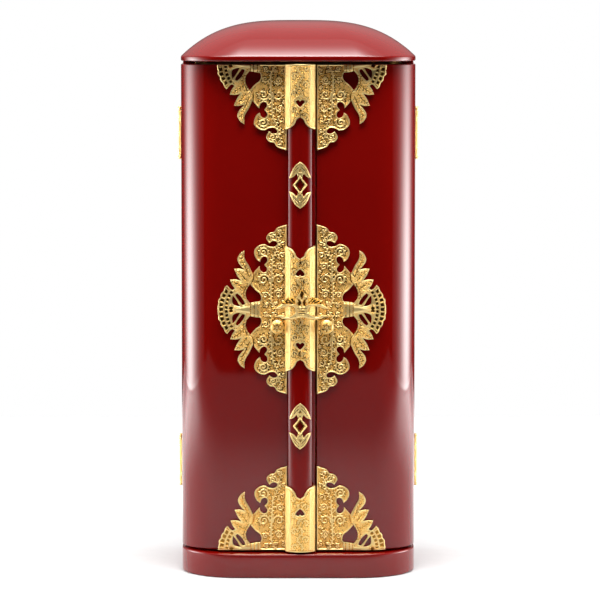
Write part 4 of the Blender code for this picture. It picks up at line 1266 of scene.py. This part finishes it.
class SHRINE_OT_strip(bpy.types.Operator):
    """Make the round-fronted strip over the meeting edge"""

    bl_idname = "shrine.strip"
    bl_label = "Centre strip"

    def execute(self, context):
        sizes = context.scene.shrine_strip
        low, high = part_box("centre_strip")
        deselect()
        middle = ((low.x + high.x) / 2, high.y - sizes.depth + sizes.front_radius, (low.z + high.z) / 2)
        bpy.ops.mesh.primitive_cylinder_add(
            vertices=108, radius=sizes.front_radius, depth=high.z - low.z, location=middle)
        strip = settle("shrine_centre_strip")
        begin_edit(strip)
        cuts = (((0, high.y, 0), (0, 1, 0)), ((low.x, 0, 0), (-1, 0, 0)), ((high.x, 0, 0), (1, 0, 0)))
        for place, towards in cuts:
            bpy.ops.mesh.select_all(action="SELECT")
            bpy.ops.mesh.bisect(
                plane_co=place, plane_no=towards, use_fill=True, clear_outer=True, threshold=0.001 * MM)
        before_seat = high.y - 1 * MM
        left, right = upright_shoulder(low.x, before_seat), upright_shoulder(high.x, before_seat)
        pick("edges", lambda edge: left(edge) or right(edge))
        # The front meets the sides at a blunt corner, so the offset is less than the radius
        bpy.ops.mesh.bevel(offset=sizes.shoulder * 0.8, segments=6, affect="EDGES")
        end_edit()
        smooth(strip)
        dress(strip, "left_door", LACQUER_SLOT, "centre_strip")
        return {"FINISHED"}


class SHRINE_OT_plates(bpy.types.Operator):
    """Make the six pierced and chased plates"""

    bl_idname = "shrine.plates"
    bl_label = "Chased plates"

    def execute(self, context):
        corner = context.scene.shrine_body.door_corner
        door_low, door_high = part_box("right_door")
        bend_start = (door_high.x - corner, corner)
        face_y = door_low.y - PLATE_GAP - PLATE_SHEET * MM
        pitch = point_pitch(1.0)
        relief = plate_relief(context.scene.shrine_chasing)
        plans = {half: sheet_plan(plate_loops(half, pitch), relief, pitch) for half in (False, True)}
        for side, body in ((-1, "left_door"), (1, "right_door")):
            word = body.split("_")[0]
            for place, half, flip in (("top", True, -1), ("middle", False, 1), ("bottom", True, 1)):
                node = f"{word}_plate_{place}"
                low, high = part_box(node)
                edge_x = high.x if side < 0 else low.x
                middle_z = {"top": high.z, "middle": (low.z + high.z) / 2, "bottom": low.z}[place]
                bend = plate_bend(side, flip, edge_x, middle_z, face_y, bend_start)
                plate = chased_sheet("shrine_" + node, plans[half], bend, PLATE_SHEET)
                dress(plate, body, GILT_SLOT, node)
        return {"FINISHED"}


def strip_place():
    """The strip's middle in x, its half width in millimetres, and the y of its seat."""
    low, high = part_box("centre_strip")
    return (low.x + high.x) / 2, (high.x - low.x) / 2 / MM, high.y


class SHRINE_OT_sleeves(bpy.types.Operator):
    """Make the three gilt sleeves over the strip"""

    bl_idname = "shrine.sleeves"
    bl_label = "Strip sleeves"

    def execute(self, context):
        strip = context.scene.shrine_strip
        axis_x, half_width, seat_y = strip_place()
        pitch = point_pitch(1.0)
        for place in ("bottom", "middle", "top"):
            node = f"strip_mount_{place}"
            low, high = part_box(node)
            foot = (seat_y - high.y) / MM
            curve = strip_curve(strip, half_width, (strip.gap + strip.sleeve_sheet) / MM, foot)
            bottom, top = low.z / MM, high.z / MM
            loops, marks = sleeve_loops(place, bottom, top, curve)
            relief = sleeve_relief(bottom, top, marks)
            plan = sheet_plan(loops, relief, pitch)
            bend = wrap_bend(axis_x, seat_y, curve)
            sleeve = chased_sheet("shrine_" + node, plan, bend, strip.sleeve_sheet / MM)
            dress(sleeve, "left_door", GILT_SLOT, node)
        return {"FINISHED"}


def sleeve_loops(place, bottom, top, curve):
    """A sleeve's outline and hearts on the unrolled sheet, and the height of each pointed end's notch."""
    reach = curve[1][-1] * SLEEVE_OVERREACH
    hearts, marks = [], []

    def end(tip_z, rise):
        if not rise:
            return [(-reach, tip_z, 1), (reach, tip_z, 1)]
        right = scaled(SLEEVE_END, reach, rise, (0.0, tip_z))
        left = [(-x, z, sharp) for x, z, sharp in right]
        heart_z = tip_z + rise * (1 + HEART_TO_NOTCH / SLEEVE_POINT)
        flip = 1 if rise > 0 else -1
        hearts.append(scaled(mirrored(HEART_HALF), HEART_WIDTH / 2, flip * HEART_WIDTH / 2, (0.0, heart_z)))
        marks.append((tip_z + rise, heart_z, flip))
        return left + [(0.0, tip_z + rise, 1)] + right[::-1]

    lower = end(bottom, 0 if place == "bottom" else SLEEVE_POINT)
    upper = end(top, 0 if place == "top" else -SLEEVE_POINT)
    outline = lower + list(reversed(upper))
    loops = [rounded(loop, 0.14) for loop in (outline, *hearts)]
    return [round_to_flat(loop, curve) for loop in loops], marks


def sleeve_relief(bottom, top, marks):
    """Height and darkness over a sleeve: softly grained sides, and a panel of scrolls between two ridges.

    Round each heart run a line from the notch, a lobe at each side, an arch and two leaves. A sleeve with two
    pointed ends, the middle one, is sunk a little and darkened with painted shade behind the clasp's
    openings.
    """
    raised, ridges, lines = Strokes(), Strokes(), Strokes()
    middle = (bottom + top) / 2
    swing = np.arange(bottom - 1.0, top + 1.0, 0.25)
    vine = np.column_stack([0.9 * np.sin((swing - middle) * math.tau / SLEEVE_WAVE), swing])
    raised.line(vine, (0.2, 0.2))
    raised.leaflets(vine, 0.55, 0.8, 0.19)
    count = int((top - bottom) / SLEEVE_WAVE * 2) + 2
    for number in range(-count // 2, count // 2 + 1):
        side = 1 if number % 2 else -1
        z = middle + (number + 0.5) * SLEEVE_WAVE / 2
        points = raised.curl((side * 1.9, z), 1.15, 90 + 90 * side, -side * 430, 0.2)
        raised.leaflets(points[: len(points) * 2 // 3], 0.5, 0.6, 0.17, (side,))
    for side in (-1, 1):
        ridges.line([(side * SLEEVE_PANEL, bottom - 1), (side * SLEEVE_PANEL, top + 1)], (0.2, 0.2))
    for notch_z, heart_z, flip in marks:
        lines.line([(0.0, notch_z), (0.0, heart_z - flip * 1.6)], (0.16, 0.22, 0.12))
        for side in (-1, 1):
            lobe = [(side * x, notch_z + flip * z) for x, z in SLEEVE_LOBE]
            lines.line(through(lobe), (0.08, 0.13, 0.1))
            leaf = [(side * x, heart_z + flip * z) for x, z in SLEEVE_LEAF]
            lines.line(through(leaf), (0.06, 0.16, 0.06))
        arch = [(x, heart_z + flip * (2.2 - 0.28 * x * x)) for x in np.linspace(-2.4, 2.4, 15)]
        ridges.line(arch, (0.14, 0.2, 0.14))
    # Painted shade behind the clasp's openings: broad strokes that darken the sleeve and sink it a little.
    if len(marks) == 2:
        lines.line([(CLASP_ASIDE, middle + 1.0), (CLASP_ASIDE, middle + 3.2)], (1.7, 1.7))
        lines.line([(CLASP_ASIDE, middle + 3.2), (CLASP_ASIDE, middle + 6.0)], (0.9, 0.7, 0.5))

    def relief(points, distance):
        s = points[:, 0]
        scroll = raised.fullness(points)
        ridge = ridges.fullness(points)
        groove = lines.fullness(points)
        panel = step_up(SLEEVE_PANEL - np.abs(s), -0.3, 0.7) * step_up(distance, 0.35, 0.65)
        height = -0.14 * panel + 0.2 * panel * scroll
        # The dark line round the scrolls is painted shade at their foot; the sheet is not sunk there.
        recess = panel * (0.32 + 0.5 * raised.contour(points)) * (1 - step_up(scroll, 0.1, 0.55))
        flank = step_up(np.abs(s) - SLEEVE_PANEL, -0.2, 0.4) * step_up(distance, 0.35, 0.6)
        recess = np.maximum(recess, 0.2 * flank)
        height = np.maximum(height, 0.1 * ridge - 0.02) - 0.14 * groove
        recess = np.maximum(np.where(ridge > 0.3, 0, recess), step_up(groove, 0.3, 0.9))
        line = np.exp(-((distance - 0.55) / 0.09) ** 2) * step_up(SLEEVE_PANEL + 1.2 - np.abs(s), 0.0, 0.3)
        return height - 0.1 * line + eased_edge(distance), np.maximum(recess, 0.75 * line)

    return relief


class SHRINE_OT_medallions(bpy.types.Operator):
    """Make the two pierced medallions on the strip"""

    bl_idname = "shrine.medallions"
    bl_label = "Strip medallions"

    def execute(self, context):
        strip = context.scene.shrine_strip
        axis_x, half_width, seat_y = strip_place()
        curve = strip_curve(strip, half_width, (strip.gap + strip.medallion_sheet) / MM, 0.0)
        pitch = point_pitch(0.8)
        for place in ("lower", "upper"):
            node = f"strip_medallion_{place}"
            low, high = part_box(node)
            z = (low.z + high.z) / 2 / MM
            width, tall = (high.x - low.x) / MM / 2, (high.z - low.z) / MM / 2
            drawn = [scaled(loop, width, tall) for loop in (medallion_outline(), LOZENGE_INNER)]
            flat = [round_to_flat(rounded(loop, 0.12), curve) for loop in drawn]
            loops = [[(s, t + z) for s, t in loop] for loop in flat]
            plan = sheet_plan(loops, medallion_relief(z, width, tall), pitch, (0.05, 0.11))
            bend = wrap_bend(axis_x, seat_y, curve)
            medallion = chased_sheet("shrine_" + node, plan, bend, strip.medallion_sheet / MM)
            dress(medallion, "left_door", GILT_SLOT, node)
        return {"FINISHED"}


def medallion_outline():
    """The medallion's outer edge: a crescent above, the lozenge between, and a crescent below."""
    lower_right = [(x, -y, sharp) for x, y, sharp in reversed(CRESCENT_HALF)]
    right = list(CRESCENT_HALF) + [LOZENGE_SIDE] + lower_right
    left = [(-x, y, sharp) for x, y, sharp in reversed(right) if x > 0]
    return right + left


def medallion_relief(middle, width, tall):
    """Height and darkness over a medallion: beaded lozenge, and punched trefoils on veined crescents."""
    beads, cuts = Strokes(), Strokes()
    across, up = 0.56 * width, 0.36 * tall
    corners = [(across, middle), (0.0, middle + up), (-across, middle), (0.0, middle - up)]
    for start, end in zip(corners, corners[1:] + corners[:1]):
        for share in np.linspace(0.0, 0.84, 6):
            spot = np.array(start) + (np.array(end) - np.array(start)) * share
            beads.line([spot, spot + (0.01, 0)], (0.34, 0.34))
    for flip in (1, -1):
        z = middle + flip * 0.6 * tall
        for x, y in ((-0.28, -0.1), (0.28, -0.1), (0.0, 0.42)):
            cuts.line([(x, z + flip * y), (x, z + flip * (y + 0.02))], (0.3, 0.3))
        for side in (-1, 1):
            for drawn, widths in CRESCENT_VEINS:
                vein = [(side * x, middle + flip * tall * y) for x, y in drawn]
                cuts.line(through(vein), widths)

    def relief(points, distance):
        bead, cut = beads.fullness(points), cuts.fullness(points)
        lozenge = np.abs(points[:, 0]) / (0.8 * width) + np.abs(points[:, 1] - middle) / (0.46 * tall) < 1
        crown = 0.16 * np.sqrt(np.clip(distance / 0.5, 0, 1))
        height = np.where(lozenge, -0.1 + 0.26 * bead, crown - 0.3 * cut)
        recess = np.where(lozenge, 1 - step_up(bead, 0.1, 0.5), step_up(cut, 0.3, 0.9))
        return height - 0.1 + eased_edge(distance), recess

    return relief


class SHRINE_OT_clasp(bpy.types.Operator):
    """Make the winged openwork clasp on its foot"""

    bl_idname = "shrine.clasp"
    bl_label = "Clasp"

    def execute(self, context):
        low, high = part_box("door_clasp")
        outline = mirrored(CLASP_HALF + ((0.0, CLASP_BOTTOM, 0),))
        curl_left = [(-x, y, sharp) for x, y, sharp in FLEUR_CURL]
        loops = [rounded(loop, 0.13) for loop in (outline, FLEUR_PETAL, FLEUR_CURL, curl_left)]
        centre_x, centre_z = (low.x + high.x) / 2, high.z - CLASP_HALF[0][1] * MM

        def bend(points, height):
            x, z = points.T * MM
            return np.column_stack([centre_x + x, low.y - height * MM, centre_z + z])

        plan = sheet_plan(loops, clasp_relief(), point_pitch(0.75), (0.05, 0.11))
        clasp = chased_sheet("shrine_door_clasp", plan, bend, CLASP_SHEET)
        front_y = low.y + 0.6 * CLASP_SHEET * MM
        foot = new_block(
            "clasp_foot", (centre_x - CLASP_FOOT_HALF, front_y, centre_z - CLASP_FOOT_TALL),
            (centre_x + CLASP_FOOT_HALF, high.y, centre_z))
        ease_all(foot, CLASP_FOOT_ROUND)
        smooth(foot)
        join([clasp, foot])
        dress(clasp, "left_door", GILT_SLOT, "door_clasp")
        return {"FINISHED"}


def clasp_relief():
    """Height and darkness over the clasp: rounded limbs, engraved feathers, and lines across the breast."""
    cuts, tendrils = Strokes(), Strokes()
    for line in FEATHERS:
        cuts.line(through(line), (0.1, 0.22, 0.08))
    for line in BREAST_LINES:
        cuts.line(line, (0.22, 0.12))
    for line in CLASP_TENDRILS:
        tendrils.line(through(line), (0.6, 0.7, 0.16))

    def relief(points, distance):
        folded = np.column_stack([np.abs(points[:, 0]), points[:, 1]])
        p, q = folded.T
        cut = cuts.fullness(folded)
        tendril = tendrils.fullness(folded)
        crown = np.sqrt(np.clip(distance / 0.8, 0, 1))
        feather = (p > 2.0) & (q > 1.5)
        height = -0.5 + 0.4 * crown + 0.15 * tendril
        height = np.where(feather, -0.5 + 0.25 * crown - 0.25 * cut, height - 0.25 * cut * (tendril < 0.2))
        edge = 0.85 * (1 - step_up(distance, 0.08, 0.3))
        engraved = step_up(cut, 0.2, 0.8) * (tendril < 0.3)
        recess = np.where(feather, 0.62 + 0.38 * step_up(cut, 0.1, 0.7), engraved)
        recess = np.maximum(recess, np.maximum(edge, 0.16 - 0.1 * tendril))
        return np.minimum(height, 0.0) + eased_edge(distance), recess * 0.95

    return relief


class SHRINE_OT_knobs(bpy.types.Operator):
    """Make the two flower-faced knobs"""

    bl_idname = "shrine.knobs"
    bl_label = "Knobs"

    def execute(self, context):
        for body in ("left_door", "right_door"):
            node = body.split("_")[0] + "_knob"
            low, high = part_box(node)
            radius, tall = (high.x - low.x) / 2, high.y - low.y
            knob = turned("shrine_" + node, [(r * radius, h * tall) for r, h in KNOB_PROFILE], 96)
            petal_face(knob, radius, tall)
            put(knob, ((low.x + high.x) / 2, high.y, (low.z + high.z) / 2), (math.pi / 2, 0, 0))
            smooth(knob, 50)
            dress(knob, body, GILT_SLOT, node)
        return {"FINISHED"}


def turned(name, profile, sides):
    """A turned solid about Z: a disc on z = 0 whose face is drawn up and in or out through the profile."""
    deselect()
    bpy.ops.mesh.primitive_circle_add(vertices=sides, radius=profile[0][0], fill_type="NGON")
    obj = settle(name)
    begin_edit(obj, "FACE")
    bpy.ops.mesh.select_all(action="SELECT")
    radius, height = profile[0]
    for new_radius, new_height in profile[1:]:
        bpy.ops.mesh.extrude_region_move(TRANSFORM_OT_translate={"value": (0, 0, new_height - height)})
        ratio = new_radius / radius
        bpy.ops.transform.resize(value=(ratio, ratio, 1), center_override=(0, 0, new_height))
        radius, height = new_radius, new_height
    bpy.ops.mesh.poke()
    bpy.ops.mesh.select_all(action="SELECT")
    bpy.ops.mesh.normals_make_consistent(inside=False)
    end_edit()
    return obj


def petal_face(knob, radius, tall):
    """Sink and darken the grooves between six petals, a ring round the middle boss and one round them."""
    layer = knob.data.attributes.new("recess", "FLOAT", "POINT")
    first, last = KNOB_PETAL_REACH
    for vert, value in zip(knob.data.vertices, layer.data):
        reach = math.hypot(vert.co.x, vert.co.y) / radius
        if vert.co.z > 0.6 * tall and reach > first:
            turn = math.atan2(vert.co.y, vert.co.x)
            inner = min(1.0, (reach - first) / 0.1) * max(0.0, min(1.0, (last - reach) / 0.15))
            groove = (0.5 - 0.5 * math.cos(KNOB_PETALS * turn)) ** 3 * inner
            rings = [share * math.exp(-((reach - place) / width) ** 2) for place, width, share in KNOB_RINGS]
            depth = max(groove, *rings)
            vert.co.z -= 0.06 * tall * depth
            value.value = 0.9 * depth


class SHRINE_OT_hinges(bpy.types.Operator):
    """Make the four hinges: nailed leaves, beaded knuckles and ball-ended pins"""

    bl_idname = "shrine.hinges"
    bl_label = "Hinges"

    def execute(self, context):
        for word, body in (("left", "left_door"), ("right", "right_door")):
            side = -1 if word == "left" else 1
            for place in ("top", "bottom"):
                stem = f"hinge_{word}_{place}"
                pin_low, pin_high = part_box(stem + "_pin")
                axis = (pin_low + pin_high) / 2
                make_hinge_pin(stem, axis, pin_low, pin_high)
                make_hinge_leaf(stem + "_frame_leaf", "cabinet", side, axis)
                make_hinge_leaf(stem + "_door_leaf", body, side, axis)
        return {"FINISHED"}


def toned(obj, value):
    """Give a plain piece the granulated tone of the chased ground, with a little of its painted reflected
    light, by this much all over.
    """
    layer = obj.data.attributes.new("recess", "FLOAT", "POINT")
    layer.data.foreach_set("value", np.full(len(layer.data), value, np.float32))


def make_hinge_pin(stem, axis, low, high):
    """A pin with a turned ball at each end."""
    radius, half = (high.x - low.x) / 2, (high.z - low.z) / 2
    lower = [(r * radius, (h + 1) * radius * PIN_BALL_TALL - half) for r, h in PIN_BALL]
    upper = [(r, -h) for r, h in reversed(lower)]
    pin = turned("shrine_" + stem + "_pin", [(r, h + half) for r, h in lower + upper], 24)
    put(pin, (axis.x, axis.y, axis.z - half))
    smooth(pin, 45)
    toned(pin, 0.08)
    dress(pin, "cabinet", GILT_SLOT, stem + "_pin")


def make_hinge_leaf(node, body, side, axis):
    """A leaf with eased edges, four nail heads, and its knuckles with a bead at each end."""
    low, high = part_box(node)
    towards = 1 if "frame" in node else -1
    near_y = axis.y + towards * (KNUCKLE_RADIUS + KNUCKLE_GAP)
    far_y = high.y if towards > 0 else low.y
    inner_x, outer_x = (axis.x - side * (KNUCKLE_RADIUS - face) for face in HINGE_LEAF_FACES)
    xs, ys = sorted((outer_x, inner_x)), sorted((near_y, far_y))
    leaf = new_block("shrine_" + node, (xs[0], ys[0], low.z), (xs[1], ys[1], high.z))
    ease_all(leaf, HINGE_LEAF_ROUND)
    parts = [leaf]
    count = len(KNUCKLE_SHARES)
    unit = (HINGE_LENGTH - (count - 1) * KNUCKLE_GAP) / sum(KNUCKLE_SHARES)
    for index in range(0 if towards > 0 else 1, count, 2):
        top = HINGE_LENGTH / 2 - sum(KNUCKLE_SHARES[:index]) * unit - index * KNUCKLE_GAP
        bottom = top - KNUCKLE_SHARES[index] * unit
        parts.append(make_knuckle(axis, bottom, top))
        tab_ys = sorted((axis.y + towards * KNUCKLE_TAB[0], near_y + towards * KNUCKLE_TAB[1]))
        parts.append(new_block("tab", (xs[0], tab_ys[0], axis.z + bottom), (xs[1], tab_ys[1], axis.z + top)))
    for across in NAIL_ACROSS:
        for up in NAIL_UP:
            y = near_y + (far_y - near_y) * across
            parts.append(make_nail((outer_x, y, axis.z + up * HINGE_LENGTH), side))
    join(parts)
    smooth(leaf, 40)
    toned(leaf, 0.14)
    dress(leaf, body, GILT_SLOT, node)


def make_knuckle(axis, bottom, top):
    """A barrel knuckle with a bead at each end and a shallow waist."""
    tall = top - bottom
    profile = [(0.62, 0.0), (0.9, 0.0), (1.0, 0.3), (1.0, 0.7), (0.86, 1.0)]
    lower = [(r * KNUCKLE_RADIUS, h * KNUCKLE_BEAD) for r, h in profile]
    upper = [(r, tall - h) for r, h in reversed(lower)]
    middle = [(0.93 * KNUCKLE_RADIUS, tall * 0.3), (0.93 * KNUCKLE_RADIUS, tall * 0.7)]
    return put(turned("knuckle", lower + middle + upper, 28), (axis.x, axis.y, axis.z + bottom))


def make_nail(place, side):
    """A low domed nail head on a leaf."""
    profile = [(1.0, 0.0), (0.94, 0.14), (0.72, 0.26), (0.4, 0.33)]
    nail = turned("nail", [(r * NAIL_RADIUS, h * NAIL_RISE) for r, h in profile], 16)
    return put(nail, place, (0, side * math.pi / 2, 0))


class SHRINE_OT_stage(bpy.types.Operator):
    """Make the floor, the lights, the surroundings and the camera"""

    bl_idname = "shrine.stage"
    bl_label = "Stage"

    def execute(self, context):
        sizes = context.scene.shrine_stage
        low, high = CAD_BOX
        reach = sizes.floor_half
        floor = new_block(
            "stage_floor", (low.x - reach, low.y - reach, -FLOOR_THICK),
            (high.x + reach, high.y + reach, -FLOOR_DROP))
        floor.data.materials.append(make_sweep(sizes))
        for side in (-1, 1):
            place = (side * (high.x + SIDE_PANEL_AWAY), SIDE_PANEL_BACK, SIDE_PANEL_UP)
            turn = (math.pi / 2, 0, side * math.pi / 2)
            glow_panel(f"side_panel_{side}", place, turn, SIDE_PANEL_SIZE, sizes.side_glow, SIDE_PANEL_SPOT)
        glow_panel("overhead_panel", OVERHEAD_PLACE, (0, 0, 0), OVERHEAD_SIZE, sizes.top_glow, OVERHEAD_SPOT)
        surroundings(sizes)
        photo_camera()
        context.scene.view_settings.view_transform = "Standard"
        return {"FINISHED"}


def make_sweep(sizes):
    """White floor that glows behind the shrine and under the side panels, as a lit sweep does.

    In front it is dark to everything but the camera, so that the lacquer reflects a dim room there.
    """
    material, bench, shader = new_finish("white_floor")
    place = object_place(bench)
    grain = bench.noise(place, 200.0)
    along = bench.node("ShaderNodeSeparateXYZ", [place], 1)
    pale = bench.mix(grain, solid((0.5,) * 3), solid((0.54,) * 3))
    seen = bench.node("ShaderNodeLightPath")
    front = bench.ramp(along, -220 * MM, -70 * MM)
    light = bench.node("ShaderNodeMath", [seen, front], operation="MAXIMUM")
    bench.feed(shader.inputs["Base Color"], bench.mix(light, solid((0.15,) * 3), pale))
    shader.inputs["Roughness"].default_value = 0.9
    shader.inputs["Specular IOR Level"].default_value = 0.1
    back = bench.ramp(along, -30 * MM, 200 * MM) * sizes.sweep_glow
    aside = bench.node("ShaderNodeMath", [bench.node("ShaderNodeSeparateXYZ", [place])], operation="ABSOLUTE")
    off = bench.node("ShaderNodeMath", [along - 50 * MM], operation="ABSOLUTE")
    beside = bench.ramp(aside, 130 * MM, 280 * MM) * (1.0 - bench.ramp(off, 80 * MM, 200 * MM))
    share = (back + beside * sizes.flank_glow) / (sizes.sweep_glow + sizes.flank_glow)
    bench.feed(shader.inputs["Emission Color"], bench.mix(share, solid((0.0,) * 3), solid((1.0,) * 3)))
    shader.inputs["Emission Strength"].default_value = sizes.sweep_glow + sizes.flank_glow
    return material


def glow_panel(name, place, turn, size, glow, spot_shares):
    """A light panel that is brightest at one spot, given with its fall-off for each way across the panel."""
    light = bpy.data.lights.new(name, "AREA")
    light.shape = "RECTANGLE"
    light.size, light.size_y = size
    light.energy = glow * math.pi * size[0] * size[1]
    light.use_nodes = True
    bench = Bench(light.node_tree)
    spot = bench.node("ShaderNodeNewGeometry", output=5)
    away = 0.0
    for axis, (middle, spread) in enumerate(spot_shares):
        off = (bench.node("ShaderNodeSeparateXYZ", [spot], axis) - middle) / spread
        away = off * off + away
    core = bench.node("ShaderNodeMath", [away * -1.0], operation="EXPONENT")
    tail = bench.node("ShaderNodeMath", [away * -0.28], operation="EXPONENT")
    fade = 0.9 * core + 0.12 * tail
    bench.feed(light.node_tree.nodes["Emission"].inputs["Strength"], fade)
    obj = bpy.data.objects.new(name, light)
    obj.location = place
    obj.rotation_euler = turn
    bpy.context.scene.collection.objects.link(obj)
    return obj


def surroundings(sizes):
    """Bright above and behind, dark at the horizon and in front, and plain white for the camera."""
    world = bpy.data.worlds.new("studio")
    bpy.context.scene.world = world
    world.use_nodes = True
    bench = Bench(world.node_tree)
    towards = bench.node("ShaderNodeTexCoord")
    depth = bench.node("ShaderNodeSeparateXYZ", [towards], 1)
    height = bench.node("ShaderNodeSeparateXYZ", [towards], 2)
    rise = bench.node("ShaderNodeMath", [height, 0.03], operation="MAXIMUM")
    glow = sizes.front_glow + sizes.back_glow * rise * bench.ramp(depth, -0.1, 0.3)
    seen = bench.node("ShaderNodeLightPath")
    strength = seen + (1.0 - seen) * glow
    background = world.node_tree.nodes["Background"]
    background.inputs["Color"].default_value = (1, 1, 1, 1)
    bench.feed(background.inputs["Strength"], strength)


def photo_camera():
    """The camera of the photograph: level with the cap, a metre off, tilted down a little."""
    camera = bpy.data.cameras.new("photo_camera")
    camera.lens = 189.46
    camera.sensor_width = 36
    camera.shift_x = 0.003
    obj = bpy.data.objects.new("photo_camera", camera)
    obj.location = (0, -1030 * MM, 180 * MM)
    obj.rotation_euler = (math.radians(84.821), 0, 0)
    bpy.context.scene.collection.objects.link(obj)
    bpy.context.scene.camera = obj


class SHRINE_PT_panel(bpy.types.Panel):
    """Lists the shrine's settings and the operators that make its pieces"""

    bl_idname = "SHRINE_PT_panel"
    bl_label = "Portable shrine"
    bl_space_type = "VIEW_3D"
    bl_region_type = "UI"
    bl_category = "Shrine"

    def draw(self, context):
        layout = self.layout
        for word in SETTINGS:
            box = layout.box()
            group = getattr(context.scene, word)
            for name in group.bl_rna.properties.keys():
                if name not in ("rna_type", "name"):
                    box.prop(group, name)
        for operator in OPERATORS:
            layout.operator(operator.bl_idname)


SETTINGS = {
    "shrine_body": BodySizes,
    "shrine_strip": StripSizes,
    "shrine_lacquer": LacquerLook,
    "shrine_gilt": GiltLook,
    "shrine_leaf": GoldLeafLook,
    "shrine_chasing": ChasingSizes,
    "shrine_stage": StageSizes,
}
OPERATORS = (
    SHRINE_OT_base,
    SHRINE_OT_cap,
    SHRINE_OT_cabinet_wall,
    SHRINE_OT_doors,
    SHRINE_OT_strip,
    SHRINE_OT_plates,
    SHRINE_OT_sleeves,
    SHRINE_OT_medallions,
    SHRINE_OT_clasp,
    SHRINE_OT_knobs,
    SHRINE_OT_hinges,
    SHRINE_OT_stage,
)


def register():
    """Register the settings, operators and panel."""
    for word, group in SETTINGS.items():
        bpy.utils.register_class(group)
        setattr(bpy.types.Scene, word, PointerProperty(type=group))
    for operator in OPERATORS:
        bpy.utils.register_class(operator)
    bpy.utils.register_class(SHRINE_PT_panel)


def unregister():
    """Take the settings, operators and panel away again."""
    bpy.utils.unregister_class(SHRINE_PT_panel)
    for operator in reversed(OPERATORS):
        bpy.utils.unregister_class(operator)
    for word, group in reversed(SETTINGS.items()):
        delattr(bpy.types.Scene, word)
        bpy.utils.unregister_class(group)


def run_operator(operator):
    """Call an operator by its id and stop if it didn't finish."""
    module, name = operator.bl_idname.split(".")
    result = getattr(getattr(bpy.ops, module), name)()
    if result != {"FINISHED"}:
        raise RuntimeError(f"{operator.bl_label} did not finish")


def main():
    """Make every piece and the stage."""
    register()
    for operator in OPERATORS:
        run_operator(operator)


if __name__ == "__main__":
    main()
